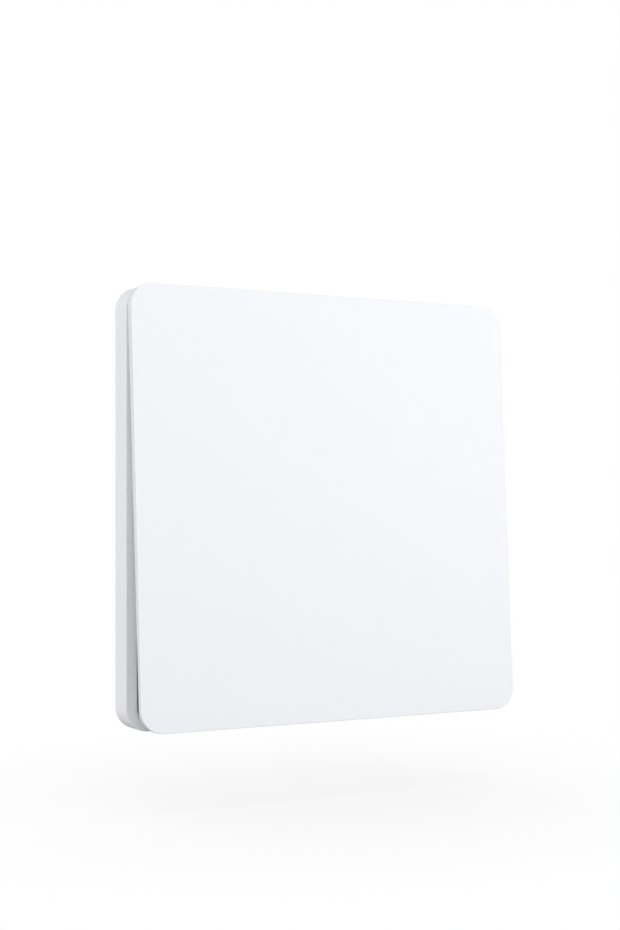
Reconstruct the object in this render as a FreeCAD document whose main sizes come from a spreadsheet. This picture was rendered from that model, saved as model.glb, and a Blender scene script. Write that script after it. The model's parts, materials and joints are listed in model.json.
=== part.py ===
import FreeCAD, Part
import math
import os
import Sketcher

# Wall switch that sends a radio signal when its single rocker is pressed, with no battery.
# Millimetres. X runs to the right, Z runs up, and the wall is the plane Y = 0.
# A depth is the distance out from the wall, so a depth of 5 lies at Y = -5.
# The origin is the middle of the face that lies on the wall.

doc = FreeCAD.newDocument("wall_switch")
sheet = doc.addObject("Spreadsheet::Sheet", "Sizes")
sheet_rows = []


class Size:
    # A length with two forms: its number now, and the sheet formula it comes from.
    def __init__(self, value, text):
        self.value = value
        self.text = text

    def join(self, other, sign, value):
        return Size(value, "(%s %s %s)" % (self.text, sign, size(other).text))

    def __add__(self, other):
        return self.join(other, "+", self.value + size(other).value)

    def __sub__(self, other):
        return self.join(other, "-", self.value - size(other).value)

    def __mul__(self, other):
        return self.join(other, "*", self.value * size(other).value)

    def __truediv__(self, other):
        return self.join(other, "/", self.value / size(other).value)

    def __neg__(self):
        return Size(-self.value, "(-1 * %s)" % self.text)


def size(amount):
    if isinstance(amount, Size):
        return amount
    return Size(float(amount), repr(float(amount)))


def dimension(name, value):
    sheet_rows.append(name)
    row = len(sheet_rows)
    sheet.set("A%d" % row, name)
    sheet.set("B%d" % row, repr(float(value)))
    sheet.setAlias("B%d" % row, name)
    return Size(float(value), "Sizes." + name)


def sine(angle):
    return Size(math.sin(math.radians(angle.value)), "sin(%s)" % angle.text)


# Overall form
face_size = dimension("face_size", 86.0)
corner_radius = dimension("corner_radius", 4.5)
edge_round = dimension("edge_round", 0.4)

# Shared by many pieces: the gap round a turning part, and how far joined forms and cuts run on
running_gap = dimension("running_gap", 0.05)
joint_overlap = dimension("joint_overlap", 0.2)
cut_past = dimension("cut_past", 1.0)

# Wall plate, hidden behind the base
wall_plate_inset = dimension("wall_plate_inset", 5.0)
wall_plate_thickness = dimension("wall_plate_thickness", 1.5)
wall_plate_corner = dimension("wall_plate_corner", 3.0)
screw_edge_distance = dimension("screw_edge_distance", 13.0)
wall_slot_width = dimension("wall_slot_width", 4.2)
wall_slot_length = dimension("wall_slot_length", 9.0)
plate_hook_side_inset = dimension("plate_hook_side_inset", 23.0)
plate_hook_inset = dimension("plate_hook_inset", 2.0)
plate_hook_width = dimension("plate_hook_width", 4.0)
plate_hook_thickness = dimension("plate_hook_thickness", 1.0)
plate_hook_barb = dimension("plate_hook_barb", 0.6)
plate_hook_rise = dimension("plate_hook_rise", 0.7)
tape_recess_depth = dimension("tape_recess_depth", 0.3)
tape_recess_height = dimension("tape_recess_height", 16.0)
tape_recess_side_inset = dimension("tape_recess_side_inset", 12.0)
tape_recess_end_inset = dimension("tape_recess_end_inset", 11.0)

# Base housing
base_depth = dimension("base_depth", 5.5)
base_floor = dimension("base_floor", 1.0)
rim_width = dimension("rim_width", 2.2)
rim_chamfer = dimension("rim_chamfer", 0.2)
screw_dome_length = dimension("screw_dome_length", 13.0)
screw_dome_width = dimension("screw_dome_width", 11.0)
screw_dome_rise = dimension("screw_dome_rise", 2.5)
screw_dome_corner = dimension("screw_dome_corner", 1.6)
dome_wall = dimension("dome_wall", 0.8)
hook_slot_gap = dimension("hook_slot_gap", 0.2)
pry_notch_width = dimension("pry_notch_width", 8.0)
pry_notch_depth = dimension("pry_notch_depth", 1.1)

# Rocker: its cap shows, its frame carries the hinge
closed_gap = dimension("closed_gap", 0.73)
cap_edge_top = dimension("cap_edge_top", 2.0)
cap_edge_bottom = dimension("cap_edge_bottom", 1.25)
cap_wall = dimension("cap_wall", 1.2)
cap_skirt_width = dimension("cap_skirt_width", 1.4)
frame_inset = dimension("frame_inset", 5.0)
frame_corner = dimension("frame_corner", 2.5)
frame_thickness = dimension("frame_thickness", 1.2)
frame_rib_width = dimension("frame_rib_width", 0.8)
frame_rib_depth = dimension("frame_rib_depth", 1.0)
frame_rib_inset = dimension("frame_rib_inset", 3.5)
frame_rib_pitch = dimension("frame_rib_pitch", 8.0)
window_gap = dimension("window_gap", 5.55)
window_low_gap = dimension("window_low_gap", 1.0)
window_high_gap = dimension("window_high_gap", 1.8)
window_corner = dimension("window_corner", 2.0)
lower_window_spring_gap = dimension("lower_window_spring_gap", 7.0)
lower_window_bar = dimension("lower_window_bar", 4.0)
nub_bar = dimension("nub_bar", 3.0)
hinge_depth = dimension("hinge_depth", 5.3)
hinge_inset = dimension("hinge_inset", 2.0)
hinge_side_inset = dimension("hinge_side_inset", 8.0)
hinge_arm_width = dimension("hinge_arm_width", 2.4)
hinge_arm_wall = dimension("hinge_arm_wall", 0.75)
hinge_pin_radius = dimension("hinge_pin_radius", 1.25)
hinge_pin_length = dimension("hinge_pin_length", 3.2)
ear_thickness = dimension("ear_thickness", 2.4)
ear_wall = dimension("ear_wall", 1.1)
ear_mouth_lip = dimension("ear_mouth_lip", 0.19)
rest_tilt = dimension("rest_tilt", 3.5)
peg_radius = dimension("peg_radius", 1.2)
peg_side_inset = dimension("peg_side_inset", 5.0)
peg_end_inset = dimension("peg_end_inset", 7.0)
peg_end_gap = dimension("peg_end_gap", 0.1)

# Stops
stop_hook_inset = dimension("stop_hook_inset", 2.0)
stop_hook_height = dimension("stop_hook_height", 8.0)
stop_hook_width = dimension("stop_hook_width", 3.0)
stop_hook_thickness = dimension("stop_hook_thickness", 1.2)
stop_toe = dimension("stop_toe", 1.5)
stop_toe_thickness = dimension("stop_toe_thickness", 0.75)
stop_toe_depth = dimension("stop_toe_depth", 3.4)
stop_gap = dimension("stop_gap", 0.06)
stop_side_gap = dimension("stop_side_gap", 0.4)
stop_lug_margin = dimension("stop_lug_margin", 1.5)
pad_side_inset = dimension("pad_side_inset", 10.0)
pad_low_inset = dimension("pad_low_inset", 4.0)
pad_radius = dimension("pad_radius", 2.2)
pad_thickness = dimension("pad_thickness", 1.6)
pad_gap = dimension("pad_gap", 0.1)
pad_stem_radius = dimension("pad_stem_radius", 1.54)
pad_stem_length = dimension("pad_stem_length", 1.4)
pad_post_edge = dimension("pad_post_edge", 0.4)

# Return springs
spring_side_inset = dimension("spring_side_inset", 16.0)
spring_low_inset = dimension("spring_low_inset", 11.0)
spring_radius = dimension("spring_radius", 2.25)
spring_wire = dimension("spring_wire", 0.5)
spring_turns = dimension("spring_turns", 5.5)
spring_closed_turns = dimension("spring_closed_turns", 0.75)
spring_closed_pitch = dimension("spring_closed_pitch", 0.55)
spring_seat_gap = dimension("spring_seat_gap", 0.5)
spring_seat_rise = dimension("spring_seat_rise", 1.4)
spring_cup_rise = dimension("spring_cup_rise", 1.0)
spring_end_gap = dimension("spring_end_gap", 0.2)
coil_steps = 8
coil_sides = 6

# Sealed module: cover, gasket and screws
cover_to_dome = dimension("cover_to_dome", 1.05)
cover_below_magnet = dimension("cover_below_magnet", 8.7)
cover_top_inset = dimension("cover_top_inset", 10.8)
cover_wall = dimension("cover_wall", 1.2)
cover_top_wall = dimension("cover_top_wall", 0.8)
cover_to_cap = dimension("cover_to_cap", 0.23)
cover_corner = dimension("cover_corner", 2.0)
gasket_thickness = dimension("gasket_thickness", 0.4)
lever_opening_gap = dimension("lever_opening_gap", 0.8)
lever_opening_lip = dimension("lever_opening_lip", 0.1)
ear_screw_inset = dimension("ear_screw_inset", 4.2)
ear_reach = dimension("ear_reach", 2.7)
ear_half = dimension("ear_half", 2.6)
cover_ear_thickness = dimension("cover_ear_thickness", 1.0)
screw_radius = dimension("screw_radius", 0.95)
screw_hole_gap = dimension("screw_hole_gap", 0.15)
screw_head_radius = dimension("screw_head_radius", 1.7)
screw_head_height = dimension("screw_head_height", 1.0)
screw_tip_gap = dimension("screw_tip_gap", 0.3)
boss_radius = dimension("boss_radius", 2.2)
boss_rise = dimension("boss_rise", 1.8)
boss_bore_floor = dimension("boss_bore_floor", 0.1)

# Generator: a coil on a fixed core, and a magnet that tips from one side to the other
generator_side_gap = dimension("generator_side_gap", 1.1)
generator_wall = dimension("generator_wall", 1.2)
generator_gap = dimension("generator_gap", 0.2)
core_thickness = dimension("core_thickness", 1.0)
core_half_width = dimension("core_half_width", 6.7)
core_low = dimension("core_low", 6.0)
core_to_cover = dimension("core_to_cover", 3.2)
core_leg = dimension("core_leg", 2.0)
core_middle_leg = dimension("core_middle_leg", 2.6)
core_yoke = dimension("core_yoke", 2.4)
core_end_gap = dimension("core_end_gap", 0.1)
core_clamp_height = dimension("core_clamp_height", 3.0)
core_clamp_thickness = dimension("core_clamp_thickness", 0.7)
core_clamp_grip = dimension("core_clamp_grip", 1.0)
core_clamp_gap = dimension("core_clamp_gap", 0.02)
magnet_thickness = dimension("magnet_thickness", 2.4)
magnet_height = dimension("magnet_height", 6.0)
magnet_to_core = dimension("magnet_to_core", 1.5)
pole_thickness = dimension("pole_thickness", 0.6)
pole_lap = dimension("pole_lap", 1.5)
carrier_wall = dimension("carrier_wall", 1.3)
carrier_base = dimension("carrier_base", 1.5)
carrier_half_depth = dimension("carrier_half_depth", 1.6)
pivot_above_middle = dimension("pivot_above_middle", 0.5)
pivot_radius = dimension("pivot_radius", 0.8)
arm_width = dimension("arm_width", 6.0)
arm_thickness = dimension("arm_thickness", 1.0)
arm_past_nub = dimension("arm_past_nub", 1.2)
nub_below_cover = dimension("nub_below_cover", 3.8)
nub_radius = dimension("nub_radius", 1.2)
nub_round = dimension("nub_round", 0.5)
nub_gap = dimension("nub_gap", 0.25)
leaf_thickness = dimension("leaf_thickness", 0.3)
leaf_inset = dimension("leaf_inset", 0.6)
leaf_end_inset = dimension("leaf_end_inset", 0.2)
bobbin_above_tips = dimension("bobbin_above_tips", 3.0)
bobbin_to_core = dimension("bobbin_to_core", 3.0)
bobbin_leg_gap = dimension("bobbin_leg_gap", 0.5)
bobbin_flange = dimension("bobbin_flange", 0.8)
bobbin_tube_wall = dimension("bobbin_tube_wall", 0.65)
winding_inset = dimension("winding_inset", 0.3)
winding_corner = dimension("winding_corner", 1.0)
lead_radius = dimension("lead_radius", 0.15)
lead_spacing = dimension("lead_spacing", 0.5)
lead_depth_inset = dimension("lead_depth_inset", 0.9)
lead_board_inset = dimension("lead_board_inset", 0.5)
lead_notch_width = dimension("lead_notch_width", 1.6)
lead_notch_depth = dimension("lead_notch_depth", 1.2)

# Circuit board and what is soldered to it
board_thickness = dimension("board_thickness", 1.0)
board_seat = dimension("board_seat", 0.8)
board_gap = dimension("board_gap", 0.4)
board_to_generator = dimension("board_to_generator", 1.6)
board_edge = dimension("board_edge", 0.8)
board_post_size = dimension("board_post_size", 2.4)
board_post_inset = dimension("board_post_inset", 2.0)
chip_gap = dimension("chip_gap", 0.7)
antenna_radius = dimension("antenna_radius", 1.2)
antenna_wire = dimension("antenna_wire", 0.5)
antenna_turns = dimension("antenna_turns", 5.0)
antenna_length = dimension("antenna_length", 8.0)

# Each of the board's parts: its name, width, height and thickness, in the order they stand in from below
chips = []
for name, width, height, thickness in (("radio_chip", 5.0, 5.0, 0.9), ("crystal", 3.2, 2.5, 0.8),
                                       ("rectifier", 4.4, 4.0, 1.5), ("storage_capacitor", 3.5, 3.4, 2.6)):
    chips.append((name, dimension(name + "_width", width), dimension(name + "_height", height),
                  dimension(name + "_thickness", thickness)))

# Places across and up the face, worked out from its size
wall_plate_size = face_size - wall_plate_inset * 2
wall_screw_spacing = face_size - screw_edge_distance * 2
plate_hook_across = face_size - plate_hook_side_inset * 2
plate_hook_height = wall_plate_size / 2 - plate_hook_inset
tape_recess_width = wall_plate_size - tape_recess_side_inset * 2
tape_recess_up = wall_plate_size / 2 - tape_recess_end_inset - tape_recess_height / 2
frame_size = face_size - frame_inset * 2
hinge_height = frame_size / 2 - hinge_inset
hinge_across = frame_size - hinge_side_inset * 2
stop_hook_across = frame_size - stop_hook_inset * 2
pad_across = frame_size - pad_side_inset * 2
pad_height = pad_low_inset - frame_size / 2
spring_across = frame_size - spring_side_inset * 2
spring_height = spring_low_inset - frame_size / 2

# Places of the generator, from its magnet's end to its yoke
magnet_high = core_low - magnet_to_core
magnet_low = magnet_high - magnet_height
pole_high = core_low + pole_lap
pivot_height = (magnet_low + magnet_high) / 2 + pivot_above_middle
cover_low = magnet_low - cover_below_magnet
nub_height = cover_low - nub_below_cover
cover_right = wall_screw_spacing / 2 - screw_dome_length / 2 - cover_to_dome
cover_left = -cover_right
cover_high = frame_size / 2 - cover_top_inset
core_high = cover_high - core_to_cover
bobbin_low = core_low + bobbin_above_tips
bobbin_high = core_high - bobbin_to_core
bobbin_half = core_half_width - core_leg - bobbin_leg_gap
generator_half_inside = core_half_width + carrier_wall + generator_gap
generator_half = generator_half_inside + generator_wall
generator_x = cover_right - cover_wall - generator_side_gap - generator_half
board_left = cover_left + cover_wall + board_gap
board_right = generator_x - generator_half - board_to_generator
board_low = cover_low + cover_wall + board_gap
board_high = cover_high - cover_wall - board_gap
board_middle = (board_left + board_right) / 2

# Depths worked out from the sizes above, from the wall outwards
floor_front = wall_plate_thickness + base_floor
rim_front = wall_plate_thickness + base_depth
cap_back = rim_front + closed_gap
cap_front = cap_back + cap_edge_top
frame_front = cap_front - cap_wall
frame_back = frame_front - frame_thickness
pad_back = frame_back - pad_gap - pad_thickness
cover_back = floor_front + gasket_thickness
cover_front = frame_front - cover_to_cap
cover_inside = cover_front - cover_top_wall
core_depth = (floor_front + cover_inside) / 2
core_back = core_depth - core_thickness / 2
core_front = core_depth + core_thickness / 2
board_back = floor_front + board_seat
board_front = board_back + board_thickness
boss_top = floor_front + boss_rise
boss_places = []
for screw_x in (cover_left + ear_screw_inset, cover_right - ear_screw_inset):
    boss_places.append((screw_x, cover_high + ear_reach, 1))
    boss_places.append((screw_x, cover_low - ear_reach, -1))

doc.recompute()


# Building helpers, each bound to the sheet

def new_body(label):
    body = doc.addObject("PartDesign::Body", label)
    body.Label = label
    body.AllowCompound = True
    return body


def new_sketch(body, role, offset):
    sketch = body.newObject("Sketcher::SketchObject", "Sketch")
    plane = [item for item in body.Origin.OriginFeatures if item.Role == role][0]
    sketch.AttachmentSupport = (plane, [""])
    sketch.MapMode = "FlatFace"
    offset = size(offset)
    start = FreeCAD.Vector(0, 0, offset.value)
    sketch.AttachmentOffset = FreeCAD.Placement(start, FreeCAD.Rotation())
    sketch.setExpression("AttachmentOffset.Base.z", offset.text)
    return sketch


def tie(sketch, *parts):
    amount = size(parts[-1])
    index = sketch.addConstraint(Sketcher.Constraint(*parts[:-1], amount.value))
    sketch.setExpression("Constraints[%d]" % index, amount.text)


def draw_rectangle(sketch, left, right, low, high, corner=None):
    left, right, low, high = size(left), size(right), size(low), size(high)
    radius = size(corner or 0).value
    first = sketch.GeometryCount
    a, b, c, d = left.value, right.value, low.value, high.value
    ends = (((a + radius, c), (b - radius, c)), ((b, c + radius), (b, d - radius)),
            ((b - radius, d), (a + radius, d)), ((a, d - radius), (a, c + radius)))
    for start, end in ends:
        line = Part.LineSegment(FreeCAD.Vector(*start, 0), FreeCAD.Vector(*end, 0))
        sketch.addGeometry(line, False)
    centres = ((b - radius, c + radius), (b - radius, d - radius), (a + radius, d - radius),
               (a + radius, c + radius))
    for turn, centre in enumerate(centres):
        following = first + (turn + 1) % 4
        if corner is None:
            sketch.addConstraint(Sketcher.Constraint("Coincident", first + turn, 2, following, 1))
            continue
        circle = Part.Circle(FreeCAD.Vector(*centre, 0), FreeCAD.Vector(0, 0, 1), radius)
        angle = math.radians(90 * turn - 90)
        sketch.addGeometry(Part.ArcOfCircle(circle, angle, angle + math.pi / 2), False)
        sketch.addConstraint(Sketcher.Constraint("Tangent", first + turn, 2, first + 4 + turn, 1))
        sketch.addConstraint(Sketcher.Constraint("Tangent", first + 4 + turn, 2, following, 1))
        if turn:
            sketch.addConstraint(Sketcher.Constraint("Equal", first + 4, first + 4 + turn))
    if corner is not None:
        tie(sketch, "Radius", first + 4, corner)
    for level in (first, first + 2):
        sketch.addConstraint(Sketcher.Constraint("Horizontal", level))
    for upright in (first + 1, first + 3):
        sketch.addConstraint(Sketcher.Constraint("Vertical", upright))
    tie(sketch, "DistanceX", -1, 1, first + 3, 1, left)
    tie(sketch, "DistanceX", -1, 1, first + 1, 1, right)
    tie(sketch, "DistanceY", -1, 1, first, 1, low)
    tie(sketch, "DistanceY", -1, 1, first + 2, 1, high)


def draw_circle(sketch, across, up, radius):
    across, up, radius = size(across), size(up), size(radius)
    centre = FreeCAD.Vector(across.value, up.value, 0)
    index = sketch.addGeometry(Part.Circle(centre, FreeCAD.Vector(0, 0, 1), radius.value), False)
    tie(sketch, "Radius", index, radius)
    tie(sketch, "DistanceX", -1, 1, index, 3, across)
    tie(sketch, "DistanceY", -1, 1, index, 3, up)


def draw_slot(sketch, across, up, length, width):
    across, up, radius = size(across), size(up), size(width) / 2
    reach = (size(length) - width) / 2
    first = sketch.GeometryCount
    x, y, run, r = across.value, up.value, reach.value, radius.value
    for side in (-1, 1):
        start = FreeCAD.Vector(x + run * side, y + r * side, 0)
        end = FreeCAD.Vector(x - run * side, y + r * side, 0)
        sketch.addGeometry(Part.LineSegment(start, end), False)
        circle = Part.Circle(FreeCAD.Vector(x - run * side, y, 0), FreeCAD.Vector(0, 0, 1), r)
        angle = math.pi / 2 * side
        sketch.addGeometry(Part.ArcOfCircle(circle, angle, angle + math.pi), False)
    for number in range(4):
        following = first + (number + 1) % 4
        sketch.addConstraint(Sketcher.Constraint("Tangent", first + number, 2, following, 1))
    sketch.addConstraint(Sketcher.Constraint("Horizontal", first))
    sketch.addConstraint(Sketcher.Constraint("Equal", first + 1, first + 3))
    tie(sketch, "Radius", first + 1, radius)
    tie(sketch, "DistanceX", -1, 1, first + 1, 3, across + reach)
    tie(sketch, "DistanceX", -1, 1, first + 3, 3, across - reach)
    tie(sketch, "DistanceY", -1, 1, first + 1, 3, up)


def draw_polygon(sketch, corners):
    corners = [(size(across), size(up)) for across, up in corners]
    first = sketch.GeometryCount
    for number, (across, up) in enumerate(corners):
        end_across, end_up = corners[(number + 1) % len(corners)]
        start = FreeCAD.Vector(across.value, up.value, 0)
        end = FreeCAD.Vector(end_across.value, end_up.value, 0)
        sketch.addGeometry(Part.LineSegment(start, end), False)
    for number, (across, up) in enumerate(corners):
        following = first + (number + 1) % len(corners)
        sketch.addConstraint(Sketcher.Constraint("Coincident", first + number, 2, following, 1))
        tie(sketch, "DistanceX", -1, 1, first + number, 1, across)
        tie(sketch, "DistanceY", -1, 1, first + number, 1, up)


def extrude(body, sketch, length, cut=False):
    kind = "Pocket" if cut else "Pad"
    feature = body.newObject("PartDesign::" + kind, kind)
    feature.Profile = sketch
    length = size(length)
    feature.Length = length.value
    feature.setExpression("Length", length.text)
    sketch.Visibility = False
    return feature


def sorted_pair(first, second):
    return (first, second) if size(first).value < size(second).value else (second, first)


# Facing the wall: depth d0 is nearer the wall than depth d1, and a cut starts from d1
def block(body, x0, x1, z0, z1, d0, d1, corner=None, cut=False):
    sketch = new_sketch(body, "XZ_Plane", d1 if cut else d0)
    draw_rectangle(sketch, x0, x1, z0, z1, corner)
    return extrude(body, sketch, size(d1) - d0, cut)


def centred_block(body, x, z, width, height, d0, d1, corner=None, cut=False):
    half_width, half_height = size(width) / 2, size(height) / 2
    x, z = size(x), size(z)
    return block(body, x - half_width, x + half_width, z - half_height, z + half_height, d0, d1, corner, cut)


# A block that lies between two sideways distances from x on the given side, and between two heights
def side_block(body, x, side, near, far, z0, z1, d0, d1, cut=False):
    x0, x1 = sorted_pair(size(x) + near * side, size(x) + far * side)
    return block(body, x0, x1, z0, z1, d0, d1, cut=cut)


def disc(body, x, z, radius, d0, d1, cut=False):
    sketch = new_sketch(body, "XZ_Plane", d1 if cut else d0)
    draw_circle(sketch, x, z, radius)
    return extrude(body, sketch, size(d1) - d0, cut)


# Seen from the right: a profile of depth and height, carried from x0 to x1
def side_disc(body, depth, z, radius, x0, x1, cut=False):
    sketch = new_sketch(body, "YZ_Plane", x1 if cut else x0)
    draw_circle(sketch, -size(depth), z, radius)
    return extrude(body, sketch, size(x1) - x0, cut)


def side_polygon(body, corners, x0, x1, cut=False):
    sketch = new_sketch(body, "YZ_Plane", x1 if cut else x0)
    draw_polygon(sketch, [(-size(depth), z) for depth, z in corners])
    return extrude(body, sketch, size(x1) - x0, cut)


def dress_edges(body, kind, sized, amount, wanted):
    doc.recompute()
    base = body.Tip
    names = ["Edge%d" % (number + 1) for number, edge in enumerate(body.Shape.Edges) if wanted(edge)]
    feature = body.newObject("PartDesign::" + kind, kind)
    feature.Base = (base, names)
    setattr(feature, sized, amount.value)
    feature.setExpression(sized, amount.text)
    return feature


def round_edges(body, radius, wanted):
    return dress_edges(body, "Fillet", "Radius", radius, wanted)


def chamfer_edges(body, width, wanted):
    return dress_edges(body, "Chamfer", "Size", width, wanted)


def lies_at_depth(edge, depth):
    box = edge.BoundBox
    return abs(box.YMin + depth.value) < 1e-4 and abs(box.YMax + depth.value) < 1e-4


def turn_about(body, depth, height, degrees):
    body.setExpression("Placement", (
        "placement(vector(0; 0; 0); rotation(vector(1; 0; 0); %s); vector(0; %s; %s))"
        % (degrees.text, (-depth).text, height.text)))


# A coil about the Z axis: straight bars joined at mitres, with its end turns wound close if asked
def coil_shape(radius, wire, turns, length, closed_turns, closed_pitch):
    steps = round(turns * coil_steps)
    open_turns = turns - 2 * closed_turns
    open_rise = length - wire - 2 * closed_pitch * closed_turns
    points = []
    for step in range(steps + 1):
        turned = turns * step / steps
        low_part = min(turned, closed_turns)
        high_part = max(turned - closed_turns - open_turns, 0.0)
        middle_part = turned - low_part - high_part
        height = (low_part + high_part) * closed_pitch + open_rise * middle_part / open_turns
        angle = 2 * math.pi * turned
        points.append(FreeCAD.Vector(radius * math.cos(angle), radius * math.sin(angle), height + wire / 2))
    path = Part.makePolygon(points)
    along = (points[1] - points[0]).normalize()
    across = FreeCAD.Vector(0, 0, 1).cross(along).normalize()
    up = along.cross(across)
    ring = []
    for side in range(coil_sides):
        angle = 2 * math.pi * side / coil_sides
        ring.append(points[0] + (across * math.cos(angle) + up * math.sin(angle)) * (wire / 2))
    section = Part.makePolygon(ring + ring[:1])
    right_corners = 1
    return path.makePipeShell([section], True, False, right_corners)


def new_coil(label, sizes, place, turned):
    feature = doc.addObject("Part::Feature", label)
    feature.Label = label
    feature.Shape = coil_shape(*[size(amount).value for amount in sizes])
    words = tuple(size(amount).text for amount in place) + (turned,)
    feature.setExpression("Placement", "placement(vector(%s; %s; %s); rotation(vector(1; 0; 0); %s))" % words)
    return feature


def make_return_spring(label, side):
    sizes = (spring_radius, spring_wire, spring_turns, spring_rest, spring_closed_turns, spring_closed_pitch)
    return new_coil(label, sizes, (spring_across / 2 * side, -floor_front, spring_height), 90)


def make_antenna():
    depth = board_front + antenna_radius + antenna_wire / 2 + running_gap
    sizes = (antenna_radius, antenna_wire, antenna_turns, antenna_length, 0.0, 0.0)
    return new_coil("antenna", sizes, (board_middle, -depth, board_low + board_edge), 0)


# Wall plate: screwed to the wall, with four hooks that the base snaps over and two recesses for tape
def make_wall_plate():
    body = new_body("wall_plate")
    half = wall_plate_size / 2
    block(body, -half, half, -half, half, 0.0, wall_plate_thickness, wall_plate_corner)
    sketch = new_sketch(body, "XZ_Plane", wall_plate_thickness)
    for side in (-1, 1):
        draw_slot(sketch, wall_screw_spacing / 2 * side, 0.0, wall_slot_length, wall_slot_width)
    extrude(body, sketch, wall_plate_thickness, cut=True)
    for up in (-1, 1):
        centred_block(body, 0.0, tape_recess_up * up, tape_recess_width, tape_recess_height, 0.0,
                      tape_recess_depth, cut=True)
    tip = floor_front + plate_hook_rise
    catch = floor_front + running_gap
    for across in (-1, 1):
        for up in (-1, 1):
            x = plate_hook_across / 2 * across
            near = plate_hook_height * up
            far = near + plate_hook_thickness * up
            barb = far + plate_hook_barb * up
            profile = ((wall_plate_thickness, near), (tip, near), (tip, far), (catch, barb), (catch, far),
                       (wall_plate_thickness, far))
            side_polygon(body, profile, x - plate_hook_width / 2, x + plate_hook_width / 2)
    return body


# Base housing: an open tray whose rim faces forward
def make_base_housing():
    body = new_body("base_housing")
    half = face_size / 2
    inner = half - rim_width
    block(body, -half, half, -half, half, wall_plate_thickness, rim_front, corner_radius)
    chamfer_edges(body, rim_chamfer, lambda edge: lies_at_depth(edge, rim_front))
    block(body, -inner, inner, -inner, inner, floor_front, rim_front, corner_radius - rim_width, cut=True)
    for side in (-1, 1):
        add_screw_dome(body, side)
        add_hook_slots(body, side)
        disc(body, spring_across / 2 * side, spring_height, spring_radius - spring_wire / 2 - spring_seat_gap,
             floor_front, floor_front + spring_seat_rise)
        post = (pad_radius + pad_post_edge) * 2
        centred_block(body, pad_across / 2 * side, pad_height, post, post, floor_front, pad_back)
        disc(body, pad_across / 2 * side, pad_height, pad_stem_radius + running_gap,
             pad_back - pad_stem_length, pad_back, cut=True)
        add_hinge_ear(body, side)
        add_stop_lug(body, side)
    for x, z, direction in boss_places:
        disc(body, x, z, boss_radius, floor_front, boss_top)
        disc(body, x, z, screw_radius + running_gap, floor_front + boss_bore_floor, boss_top, cut=True)
    for x in (board_left + board_post_inset, board_right - board_post_inset):
        for z in (board_low + board_post_inset, board_high - board_post_inset):
            centred_block(body, x, z, board_post_size, board_post_size, floor_front, board_back)
    block(body, -pry_notch_width / 2, pry_notch_width / 2, -half - cut_past, -half + pry_notch_depth,
          wall_plate_thickness, floor_front, cut=True)
    return body


# A hollow dome over each wall screw's head
def add_screw_dome(body, side):
    x = wall_screw_spacing / 2 * side
    top = floor_front + screw_dome_rise
    centred_block(body, x, 0.0, screw_dome_length, screw_dome_width, floor_front, top, screw_dome_corner)
    centred_block(body, x, 0.0, screw_dome_length - dome_wall * 2, screw_dome_width - dome_wall * 2,
                  wall_plate_thickness, top - dome_wall, cut=True)


def add_hook_slots(body, side):
    x = plate_hook_across / 2 * side
    width = plate_hook_width + hook_slot_gap * 2
    height = plate_hook_thickness + hook_slot_gap * 2
    for up in (-1, 1):
        z = (plate_hook_height + plate_hook_thickness / 2) * up
        centred_block(body, x, z, width, height, wall_plate_thickness, floor_front, cut=True)


# Each ear is a snap bearing: a bore with a mouth narrower than the pin that enters it
def add_hinge_ear(body, side):
    bore = hinge_pin_radius + running_gap
    ear = bore + ear_wall
    outer = hinge_across / 2 + hinge_arm_width / 2 + hinge_pin_length
    x0, x1 = sorted_pair((outer - ear_thickness) * side, outer * side)
    block(body, x0, x1, hinge_height - ear, hinge_height + ear, floor_front, rim_front)
    mouth = hinge_pin_radius - ear_mouth_lip
    block(body, x0, x1, hinge_height - mouth, hinge_height + mouth, hinge_depth, rim_front, cut=True)
    side_disc(body, hinge_depth, hinge_height, bore, x0, x1, cut=True)


# A lug on each side wall holds the rocker's hook at rest
def add_stop_lug(body, side):
    low = stop_hook_height - stop_hook_width / 2
    rise = (hinge_height - low) * sine(rest_tilt)
    lug_back = stop_toe_depth + stop_toe_thickness + rise + stop_gap
    inner = stop_hook_across / 2 + stop_hook_thickness + stop_side_gap
    outer = face_size / 2 - rim_width + joint_overlap
    side_block(body, 0.0, side, inner, outer, low - stop_lug_margin, low + stop_hook_width + stop_lug_margin,
               lug_back, rim_front)


# Soft gasket between the module cover and the floor of the base
def make_gasket():
    body = new_body("sealing_gasket")
    sketch = new_sketch(body, "XZ_Plane", floor_front)
    draw_rectangle(sketch, cover_left, cover_right, cover_low, cover_high, cover_corner)
    draw_rectangle(sketch, cover_left + cover_wall, cover_right - cover_wall, cover_low + cover_wall,
                   cover_high - cover_wall)
    extrude(body, sketch, gasket_thickness)
    return body


# Module cover: closes the generator and the board, open only where the lever comes out
def make_module_cover():
    body = new_body("module_cover")
    block(body, cover_left, cover_right, cover_low, cover_high, cover_back, cover_front, cover_corner)
    block(body, cover_left + cover_wall, cover_right - cover_wall, cover_low + cover_wall,
          cover_high - cover_wall, cover_back, cover_inside, cut=True)
    opening = arm_width / 2 + lever_opening_gap
    block(body, generator_x - opening, generator_x + opening, cover_low - cut_past,
          cover_low + cover_wall + lever_opening_lip, cover_back, cover_inside - lever_opening_lip, cut=True)
    for x, z, direction in boss_places:
        low, high = sorted_pair(z - (ear_reach + cover_wall / 2) * direction, z + ear_half * direction)
        block(body, x - ear_half, x + ear_half, low, high, boss_top, boss_top + cover_ear_thickness)
        disc(body, x, z, screw_radius + screw_hole_gap, boss_top, boss_top + cover_ear_thickness, cut=True)
    return body


# Screws with hexagon heads, one through each ear of the cover
def make_cover_screws():
    body = new_body("cover_screws")
    seat = boss_top + cover_ear_thickness
    for x, z, direction in boss_places:
        disc(body, x, z, screw_radius, floor_front + screw_tip_gap, seat)
        sketch = new_sketch(body, "XZ_Plane", seat)
        draw_polygon(sketch, hexagon(x, z, screw_head_radius))
        extrude(body, sketch, screw_head_height)
    return body


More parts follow.
